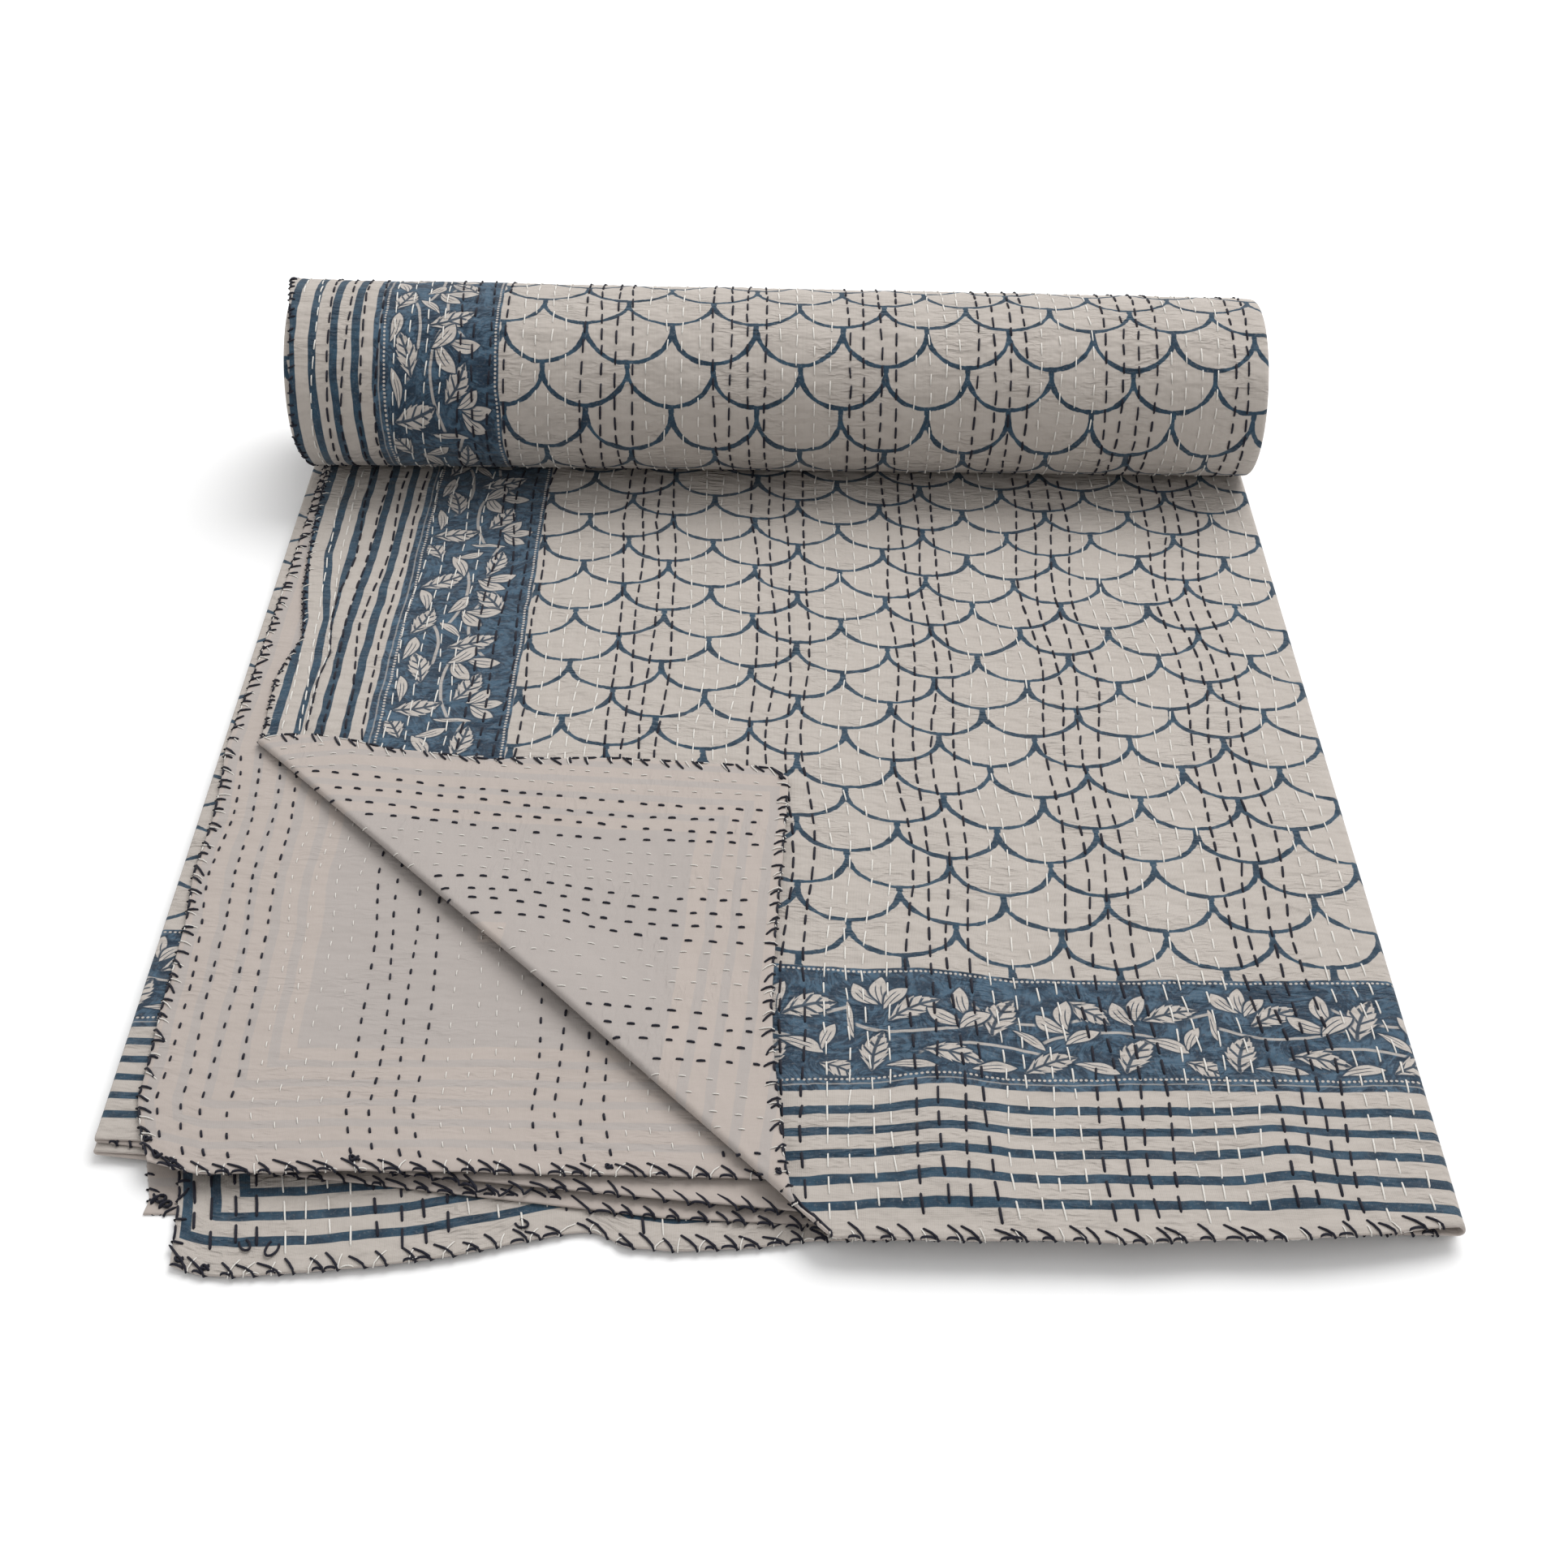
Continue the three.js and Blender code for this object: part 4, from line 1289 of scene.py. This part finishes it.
# %% Group: uneven dye
def make_uneven_dye():
    tree, given, result = start_group(
        "uneven_dye",
        [("Place", VECTOR, None)],
        [("Clouds", FLOAT), ("Streaks", FLOAT), ("Starved", FLOAT)],
    )
    s = sums(tree)
    clouds = noise(tree, given["Place"], 90.0, 3.0, 0.65).outputs["Fac"]
    plug(tree, result["Clouds"], step_between(tree, clouds, 0.3, 0.7))
    bent = noise(tree, given["Place"], 34.0, 2.0, 0.6)
    bent.inputs["Distortion"].default_value = 1.6
    streaks = noise(tree, bent.outputs["Color"], 9.0, 2.0, 0.6).outputs["Fac"]
    brushed = s("MULTIPLY_ADD", s("SUBTRACT", clouds, 0.5), 0.9, streaks)
    plug(tree, result["Streaks"], step_between(tree, brushed, 0.34, 0.68))
    starved = noise(tree, given["Place"], 620.0, 2.0, 0.7).outputs["Fac"]
    plug(tree, result["Starved"], step_between(tree, starved, 0.52, 0.74))
    return tree


uneven_dye = make_uneven_dye()
print("group:", uneven_dye.name)

# %% [markdown]
# ## The materials
# Cotton is matt. Its Principled shader keeps a high roughness and a little sheen from the loose
# fibres. Colour and height come from the groups. The printed side is split in two
# materials, so that the many nodes of the flower border are only worked out where they show.

# %% Cotton materials
CREAM = (0.440, 0.401, 0.366, 1.0)
CREAM_SHADE = (0.375, 0.335, 0.300, 1.0)
BLUE = (0.009, 0.026, 0.047, 1.0)
BLUE_LIGHT = (0.024, 0.060, 0.096, 1.0)
BAND_DARK = (0.009, 0.025, 0.047, 1.0)
BAND_LIGHT = (0.047, 0.093, 0.141, 1.0)
BACK = (0.400, 0.350, 0.319, 1.0)
BACK_SHADE = (0.346, 0.300, 0.270, 1.0)
GHOST = (0.295, 0.282, 0.278, 1.0)  # the print, seen through the plain back
GHOST_SHARE = 0.42
PRINTED_BUMP = 0.0031  # metres
BACK_BUMP = 0.0012


def mix_colour(tree, share, first, second):
    new = tree.nodes.new("ShaderNodeMix")
    new.data_type = "RGBA"
    plug(tree, new.inputs["Factor"], share)
    plug(tree, new.inputs["A"], first)
    plug(tree, new.inputs["B"], second)
    return new.outputs["Result"]


def start_material(name, roughness, sheen):
    material = bpy.data.materials.new(name)
    material.use_nodes = True
    tree = material.node_tree
    shader = tree.nodes["Principled BSDF"]
    shader.inputs["Roughness"].default_value = roughness
    shader.inputs["Specular IOR Level"].default_value = 0.25
    shader.inputs["Sheen Weight"].default_value = sheen
    shader.inputs["Sheen Roughness"].default_value = 0.6
    return material, tree, shader


def cloth_place(tree):
    return add_node(tree, "ShaderNodeUVMap", {"uv_map": "cloth_metres"}).outputs["UV"]


def add_bump(tree, shader, height, distance):
    bump = add_node(tree, "ShaderNodeBump", Strength=1.0, Distance=distance, Height=height)
    plug(tree, shader.inputs["Normal"], bump.outputs["Normal"])


def starve(s, dye, ink, most):
    """The ink with its starved specks taken out of it."""
    return s("MULTIPLY", ink, s("MULTIPLY_ADD", dye["Starved"], -most, 1.0))


def place_along_hem(where):
    return {"From_hem": where["From hem"], "Along_hem": where["Along hem"]}


def ground_colour(tree, place, surface, light=CREAM, shade=CREAM_SHADE):
    soft = noise(tree, place, 22.0, 3.0).outputs["Fac"]
    s = sums(tree)
    share = s("MULTIPLY_ADD", surface["Shade"], 0.55, s("MULTIPLY_ADD", soft, 0.5, -0.15))
    return mix_colour(tree, share, light, shade)


def printed_material(name, with_border):
    material, tree, shader = start_material(name, 0.92, 0.12)
    s = sums(tree)
    place = cloth_place(tree)
    surface = use_group(tree, cotton_surface, Place=place)
    dye = use_group(tree, uneven_dye, Place=place)
    where = use_group(tree, border_place, Place=place)
    line = s("MULTIPLY_ADD", dye["Clouds"], 0.9, 0.86)
    field = use_group(tree, scallops, Across=where["Across"], Down=where["Down"], Line=line)
    colour = ground_colour(tree, place, surface)
    ink = starve(s, dye, field["Ink"], 0.16)
    if with_border:
        past_band = step_between(tree, where["From hem"], BAND_END - BLOCK_BLUR, BAND_END + BLOCK_BLUR)
        ink = s("MULTIPLY", ink, past_band)
    line_blue = mix_colour(tree, dye["Clouds"], BLUE_LIGHT, BLUE)
    colour = mix_colour(tree, ink, colour, line_blue)
    if with_border:
        lines = use_group(tree, border_lines, **place_along_hem(where))
        motifs = use_group(tree, sprigs, **place_along_hem(where))
        band_blue = mix_colour(tree, dye["Streaks"], BAND_DARK, BAND_LIGHT)
        band_blue = mix_colour(tree, s("MULTIPLY", motifs["Halo"], 0.8), band_blue, BAND_DARK)
        blue = mix_colour(tree, lines["Band"], line_blue, band_blue)
        colour = mix_colour(tree, starve(s, dye, lines["Blue"], 0.12), colour, blue)
        clear = s("SUBTRACT", 1.0, s("MULTIPLY", motifs["Vein"], 0.95))
        bare = s("MAXIMUM", s("MULTIPLY", motifs["Shape"], clear), lines["Cream"])
        colour = mix_colour(tree, starve(s, dye, bare, 0.3), colour, CREAM)
    plug(tree, shader.inputs["Base Color"], colour)
    add_bump(tree, shader, surface["Height"], PRINTED_BUMP)
    return material


def plain_material():
    material, tree, shader = start_material("plain_back", 0.94, 0.12)
    s = sums(tree)
    place = cloth_place(tree)
    surface = use_group(tree, cotton_surface, Place=place)
    where = use_group(tree, border_place, Place=place)
    lines = use_group(tree, border_lines, **place_along_hem(where))
    colour = ground_colour(tree, place, surface, BACK, BACK_SHADE)
    ghost = mix_colour(tree, s("MULTIPLY", lines["Blue"], GHOST_SHARE), colour, GHOST)
    plug(tree, shader.inputs["Base Color"], ghost)
    add_bump(tree, shader, surface["Height"], BACK_BUMP)
    return material


cloth.data.materials.append(printed_material("printed_field", False))
cloth.data.materials.append(printed_material("printed_border", True))
cloth.data.materials.append(plain_material())
print("materials on the cloth:", [m.name for m in cloth.data.materials])

# %% [markdown]
# ## The quilting
# The stitches are real little pieces of thread. A running stitch dives under the cloth and comes
# up again, so each one that shows is a short bar with both ends sunk in. All bars of one colour
# go into one mesh: thousands of separate objects would only slow the work down.


# %% Thread as tubes
def tube_mesh(name, paths, radii, sides, material):
    """One mesh of many short tubes. paths is (count, rings, 3) in millimetres."""
    paths, radii = np.asarray(paths, float), np.asarray(radii, float)
    count, rings = paths.shape[:2]
    ahead = unit(np.gradient(paths, axis=1))
    helper = np.where(np.abs(ahead[..., 2:3]) > 0.9, [[[1.0, 0, 0]]], [[[0, 0, 1.0]]])
    side = unit(np.cross(ahead, helper))
    up = np.cross(side, ahead)
    angles = (np.arange(sides) * math.tau / sides + math.pi / sides)[:, None]
    ring = np.cos(angles) * side[:, :, None] + np.sin(angles) * up[:, :, None]
    points = paths[:, :, None] + ring * radii[:, :, None, None]
    faces = []
    for start in range(0, count * rings * sides, rings * sides):
        for r in range(rings - 1):
            base = start + r * sides
            for k in range(sides):
                after = (k + 1) % sides
                faces.append((base + k, base + after, base + sides + after, base + sides + k))
        faces.append(tuple(start + k for k in reversed(range(sides))))
        faces.append(tuple(start + (rings - 1) * sides + k for k in range(sides)))
    mesh = bpy.data.meshes.new(name)
    mesh.from_pydata(to_scene(points.reshape(-1, 3)).tolist(), [], faces)
    mesh.polygons.foreach_set("use_smooth", np.ones(len(mesh.polygons), bool))
    mesh.materials.append(material)
    mesh.update()
    print(f"{name}: {count} threads, {sum(len(f) - 2 for f in faces)} triangles")
    return put_in_scene(name, mesh)


def thread_material(name, colour, sheen):
    material, tree, shader = start_material(name, 0.75, sheen)
    place = add_node(tree, "ShaderNodeTexCoord").outputs["Object"]
    fuzz = noise(tree, place, 1400.0, 2.0, 0.6).outputs["Fac"]
    darker = tuple(0.7 * c for c in colour[:3]) + (1.0,)
    plug(tree, shader.inputs["Base Color"], mix_colour(tree, fuzz, darker, colour))
    add_bump(tree, shader, fuzz, 0.0002)
    return material


dark_thread = thread_material("dark_thread", (0.0065, 0.007, 0.017, 1.0), 0.05)
white_thread = thread_material("white_thread", (0.74, 0.71, 0.66, 1.0), 0.3)
print("threads:", dark_thread.name, white_thread.name)

# %% Rows of running stitch
random = np.random.default_rng(11)
ROWS_OF_ONE_COLOUR = 4
# length and gap: on the printed side, on the roll, and on the back, where less thread shows
FACE_STITCH = (8.6, 3.5)
ROLL_STITCH = (6.6, 3.1)
BACK_STITCH = (3.6, 7.6)
FACE_RADIUS = {"dark": 0.64, "white": 0.42}
BACK_THINNER = {"dark": 0.95, "white": 0.66}
THREAD_SIDES = 5
# five rings along a stitch: share of its length, height above the cloth, thickness
STITCH_RINGS = [
    (0.0, -0.4, 0.6), (0.09, 0.24, 0.95), (0.5, 0.42, 1.0), (0.91, 0.24, 0.95), (1.0, -0.4, 0.6),
]


def is_dark(row):
    return row % (2 * ROWS_OF_ONE_COLOUR) < ROWS_OF_ONE_COLOUR


def stitches_along(start, end, kind):
    """Where the stitches of one row begin and end."""
    length, gap = kind
    at = start + random.uniform(0, length + gap)
    found = []
    while at + length < end:
        long = length * random.uniform(0.78, 1.22)
        found.append((at, at + long))
        at += long + gap * random.uniform(0.75, 1.3)
    return found


def wandering(row, v):
    """Every row also wobbles a little on its own."""
    return 0.8 * np.sin(v / 23.0 + 2.9 * row) + 0.7 * np.sin(v / 51.0 + 1.3 * row)


def first_panel_row(row, start, end, kind):
    v = np.array(stitches_along(start, end, kind))
    across = FIRST_ROW + ROW_PITCH * row + wandering(row, v)
    u = across_for_print(across + row_drift(across, v), v)
    u[:, 1] += random.normal(0, 0.3, len(u))
    return [(a, c, b, d) for (a, b), (c, d) in zip(u, v) if 7 < a < STRIPS[1] - 1.5]


def fourth_panel_row(row, start, end, kind):
    v = np.array(stitches_along(start, end, kind))
    drift = 5.0 * (soft_wave(row * 3.0 + 0 * v, v, 150.0, 33) - 0.5) + wandering(row + 40, v)
    u = CLOTH_WIDTH - FOURTH_ROW_START - FOURTH_ROW_PITCH * row - drift
    return [(a, c, b, d) for (a, b), (c, d) in zip(u, v)]


def lay_stitches(stitches, side, radius):
    """Tube paths for stitches on the printed (1) or the plain (-1) side."""
    table = np.array(stitches)
    thick = radius * random.uniform(0.88, 1.12, len(table))
    paths, radii = [], []
    for share, height, width in STITCH_RINGS:
        u, v = mix(table[:, 0], table[:, 2], share), mix(table[:, 1], table[:, 3], share)
        place, _, _, face = cloth_frame(u, v)
        over = half_thickness(u, v) + height
        paths.append(place + face * (side * over)[:, None])
        radii.append(thick * width)
    return np.stack(paths, 1), np.stack(radii, 1)


def keep_visible(stitches, printed):
    """Drops stitches on cloth that is turned away or covered by the corner."""
    table = np.array(stitches)
    x, y = flat_xy(np.minimum(table[:, 0], STRIPS[1]), table[:, 1])
    out, _ = corner_place(x, y)
    turned = (table[:, 0] < STRIPS[1]) & (table[:, 1] < REST_Y_TOP)
    shows = np.where(turned, (out < -CORNER_TURN - 2) if printed else (out > 0.5), True)
    return table[shows]


face_stitches = {True: [], False: []}
back_stitches = {True: [], False: []}
for row in range(-3, int((598 - FIRST_ROW) / ROW_PITCH)):
    dark = is_dark(row)
    face_stitches[dark] += first_panel_row(row, 5, 572, FACE_STITCH)
    face_stitches[dark] += first_panel_row(row, CLOTH_LENGTH - 925, CLOTH_LENGTH - 600, ROLL_STITCH)
    back_stitches[dark] += first_panel_row(row, 7, 300, BACK_STITCH)
for row in range(int((STRIP_WIDTHS[6] - 260) / FOURTH_ROW_PITCH)):
    dark = is_dark(row)
    back_stitches[dark] += fourth_panel_row(row, 6, 300, BACK_STITCH)
    face_stitches[dark] += fourth_panel_row(row, CLOTH_LENGTH - 60, CLOTH_LENGTH - 6, FACE_STITCH)

stitch_pieces = []
for dark, colour, material in ((True, "dark", dark_thread), (False, "white", white_thread)):
    radius = FACE_RADIUS[colour]
    face_paths, face_radii = lay_stitches(keep_visible(face_stitches[dark], True), 1, radius)
    back_paths, back_radii = lay_stitches(
        keep_visible(back_stitches[dark], False), -1, BACK_THINNER[colour] * radius
    )
    stitch_pieces.append(tube_mesh(
        f"running_stitch_{colour}",
        np.concatenate([face_paths, back_paths]),
        np.concatenate([face_radii, back_radii]),
        THREAD_SIDES, material,
    ))

# %% [markdown]
# ## The whipped hem
# A dark thread is whipped round every hem: it comes up a finger's breadth inside, slants over
# the edge and goes back under. Each turn is a tube that follows the cloth on one side, passes
# the edge and follows the other side. The front hems have long slanting turns, the side hems
# shorter ones, closer together. A thin off-white thread crosses them here and there.

# %% Whip stitches
# share of the way along the slant, distance inside the hem as a share of the reach, side of the
# cloth (0 at its edge), height above the cloth
WHIP_PATH = [
    (0.0, 1.0, 1, -0.5), (0.05, 0.94, 1, 0.2), (0.3, 0.55, 1, 0.5), (0.5, 0.12, 1, 0.55),
    (0.55, -0.07, 0, 0.0), (0.6, 0.12, -1, 0.5), (0.8, 0.55, -1, 0.45), (1.0, 1.0, -1, -0.5),
]
WHIP_WIDTHS = np.array([0.6, 0.95, 1.0, 1.0, 1.0, 1.0, 0.95, 0.6])
# pitch, reach, how far a turn leans from one side of the cloth to the other, how much that varies
LONG_WHIP = (9.4, 6.0, 13.0, 3.0)
MIDDLE_WHIP = (10.4, 5.2, 10.0, 3.0)
SIDE_WHIP = (9.2, 4.7, 7.0, 4.0)
CLOSE_WHIP = (6.8, 4.8, 2.5, 3.0)
SMALL_WHIP = (6.2, 2.6, 2.0, 1.5)
# the thread between two turns: how far inside the edge it lies, how far it bows in, its height
EDGE_INSIDE, EDGE_BOW, EDGE_HEIGHT, EDGE_DIP = 0.2, 0.45, 0.42, 0.9
ROUND_THE_EDGE = 0.75


def whip_hem(kind, start, end, side, lean_side, style, seed):
    """Stitches round one hem. kind says which hem: front (top half), back (under half), left
    (first panel) or right (fourth panel). start and end are distances along it."""
    spread = np.random.default_rng(seed)
    pitch, reach, lean, vary = style
    steps = int((end - start) / pitch)
    at = start + (np.arange(steps) + 0.5) * (end - start) / steps
    at = at + spread.normal(0, 0.16 * pitch, steps)
    reach = reach * spread.uniform(0.72, 1.25, steps)
    lean = lean_side * (lean + spread.normal(0, vary, steps))
    turns = [(at + lean * (share - 0.5), inside * reach, face_side, height)
             for share, inside, face_side, height in WHIP_PATH]
    # between two turns the thread often lies along the very edge for a bit
    lies = spread.random(steps) < 0.6
    first = at[lies] - lean_side * spread.uniform(0.0, 1.0, lies.sum())
    length = lean_side * pitch * spread.uniform(0.4, 0.75, lies.sum())
    edge = [(first - length * share, EDGE_INSIDE + EDGE_BOW * math.sin(math.pi * share), 1,
             EDGE_HEIGHT - EDGE_DIP * abs(2 * share - 1) ** 6)
            for share in np.linspace(0, 1, len(WHIP_PATH))]
    return np.concatenate([hem_points(kind, side, turns), hem_points(kind, side, edge)])


def hem_points(kind, side, points):
    """Turns (along, inside, which side, height) into places beside one hem."""
    paths = []
    for along, inside, face_side, height in points:
        depth = np.maximum(inside, 0.0)
        if kind == "front":
            u, v = along, depth
        elif kind == "back":
            u, v = along, CLOTH_LENGTH - depth
        elif kind == "left":
            u, v = depth, along
        else:
            u, v = CLOTH_WIDTH - depth, along
        place, across, onward, face = cloth_frame(u, v)
        outward = {"front": -onward, "back": onward, "left": -across, "right": across}[kind]
        if face_side == 0:
            paths.append(place + outward * ROUND_THE_EDGE)
        else:
            over = half_thickness(u, v) + height
            paths.append(place + face * (side * face_side * over)[:, None])
    return np.stack(paths, 1)


FOURTH_HEM = (CLOTH_WIDTH - 549, CLOTH_WIDTH - 3)
WHIPPED = [
    # hem, from, to, side that shows, way it leans, style, seed
    ("front", 4, 262, -1, -1, SIDE_WHIP, 1),
    ("front", 262, 548, 1, 1, LONG_WHIP, 14),
    ("left", 4, 300, -1, 1, MIDDLE_WHIP, 2),
    ("left", 306, 585, 1, 1, SMALL_WHIP, 15),
    ("front", *FOURTH_HEM, -1, -1, LONG_WHIP, 3),
    ("right", 6, 310, -1, 1, SIDE_WHIP, 4),
    ("right", 310, 590, -1, -1, CLOSE_WHIP, 16),
    ("back", *FOURTH_HEM, 1, -1, LONG_WHIP, 5),
    ("right", CLOTH_LENGTH - 300, CLOTH_LENGTH - 5, 1, 1, SIDE_WHIP, 6),
    ("front", STRIPS[2] + 4, STRIPS[3] - 34, -1, -1, LONG_WHIP, 7),
    ("front", STRIPS[3] - 30, STRIPS[3] - 4, -1, -1, SMALL_WHIP, 17),
    ("front", STRIPS[4] + 34, STRIPS[5] - 4, 1, 1, LONG_WHIP, 8),
    ("back", STRIPS[2] + 4, STRIPS[3] - 34, 1, -1, LONG_WHIP, 9),
    ("back", STRIPS[4] + 34, STRIPS[5] - 4, -1, 1, LONG_WHIP, 10),
    ("back", 4, 548, 1, 1, LONG_WHIP, 11),
    ("left", CLOTH_LENGTH - 945, CLOTH_LENGTH - 590, 1, -1, SMALL_WHIP, 12),
    ("left", CLOTH_LENGTH - 300, CLOTH_LENGTH - 5, 1, 1, SIDE_WHIP, 13),
]
# the off-white turns run over the same hems that show most, leaning the other way
WHITE_WHIP = (13.0, 5.5, 9.0, 4.0)
WHITE_WHIPPED = [
    ("front", 4, 548, -1, -0.6, WHITE_WHIP, 41),
    ("left", 4, 580, -1, 0.8, WHITE_WHIP, 42),
    ("front", *FOURTH_HEM, -1, 0.7, WHITE_WHIP, 43),
    ("right", 6, 580, -1, 0.6, WHITE_WHIP, 44),
    ("back", *FOURTH_HEM, 1, 0.7, WHITE_WHIP, 45),
]


def whip_piece(name, table, radius, material):
    paths = np.concatenate([whip_hem(*entry) for entry in table])
    radii = np.tile(radius * WHIP_WIDTHS, (len(paths), 1))
    stitch_pieces.append(tube_mesh(name, paths, radii, THREAD_SIDES, material))


whip_piece("whipped_hem", WHIPPED, 0.6, dark_thread)
whip_piece("whipped_hem_white", WHITE_WHIPPED, 0.3, white_thread)

# %% [markdown]
# ### Knots and loose loops
# Where a thread was started or finished it is knotted, and at the corners several knots sit
# together. A knot is a thread wound round itself, so one closed winding curve, flattened a
# little, does for it. Three loops of slack thread lie on the lower layer near its front hem.

# %% Knots and loops
# place on the cloth: from the left hem (or from the right hem if second), along, side, size
KNOTS = [
    # of the turned corner and the first panel
    ("first", 5, 306, 1, 2.3), ("first", 4, 4, -1, 1.6), ("first", 262, 4, -1, 1.4),
    # of the second layer
    ("fourth", 92, 6, -1, 2.2), ("fourth", 6, 4, -1, 2.6), ("fourth", 3, 12, -1, 1.8),
    ("fourth", 13, 3, -1, 1.7), ("fourth", 200, 4, -1, 1.5),
    # of the under half
    ("fourth", 4, CLOTH_LENGTH - 3, 1, 2.0), ("fourth", 16, CLOTH_LENGTH - 2.5, 1, 1.7),
    ("first", 5, CLOTH_LENGTH - 9, -1, 3.2), ("first", 9, CLOTH_LENGTH - 5.5, -1, 2.6),
]
# from the right hem, along, size, how far it is turned
LOOPS = [(32, 2588, 2.6, 0.5), (44, 2590, 3.2, -0.3), (150, 2591, 2.4, 0.8)]
KNOT_POINTS = 40
KNOT_RADIUS = 0.55
KNOT_SIDES = 6


def knot_path(panel, from_side, v, side, size):
    u = float(from_side if panel == "first" else CLOTH_WIDTH - from_side)
    place, across, onward, face = cloth_frame(np.array([u]), np.array([float(v)]))
    t = np.linspace(0, 2 * math.pi, KNOT_POINTS)[:, None]
    out = 0.55 + 0.45 * np.sin(5 * t + 1)
    return (
        place + across * size * 0.85 * np.sin(2 * t + 0.4) + onward * size * 0.6 * np.cos(3 * t)
        + face * side * (0.7 + 0.55 * size * out)
    )


def loop_path(from_side, v, size, turn):
    u = np.array([CLOTH_WIDTH - from_side])
    place, across, onward, face = cloth_frame(u, np.array([float(v)]))
    t = np.linspace(-0.25, 1.2, KNOT_POINTS)[:, None] * math.pi
    sideways, ahead = size * 0.75 * np.cos(t), size * 1.4 * np.sin(t)
    cos, sin = math.cos(turn), math.sin(turn)
    height = 0.8 + 1.1 * np.sin(np.clip(t, 0, math.pi))
    flat = across * (sideways * cos - ahead * sin) + onward * (sideways * sin + ahead * cos)
    return place + flat + face * height


knot_paths = [knot_path(*entry) for entry in KNOTS] + [loop_path(*entry) for entry in LOOPS]
knot_radii = np.full((len(knot_paths), KNOT_POINTS), KNOT_RADIUS)
stitch_pieces.append(tube_mesh("knots", knot_paths, knot_radii, KNOT_SIDES, dark_thread))

# %% [markdown]
# ## Putting it together
# The frame has to know which piece stands for which solid of the plain model.
# The floor is only a stage.


# %% Floor
def add_floor():
    mesh = bpy.data.meshes.new("floor")
    mesh.from_pydata([(-4, -4, 0), (4, -4, 0), (4, 6, 0), (-4, 6, 0)], [], [(0, 1, 2, 3)])
    material, _, shader = start_material("pale_floor", 0.8, 0.0)
    shader.inputs["Base Color"].default_value = (0.86, 0.86, 0.86, 1.0)
    mesh.materials.append(material)
    floor = put_in_scene("floor", mesh)


add_floor()

# %% Naming the pieces
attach(cloth, "root")
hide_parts("bedspread")
for piece in stitch_pieces:
    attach(piece, "root")
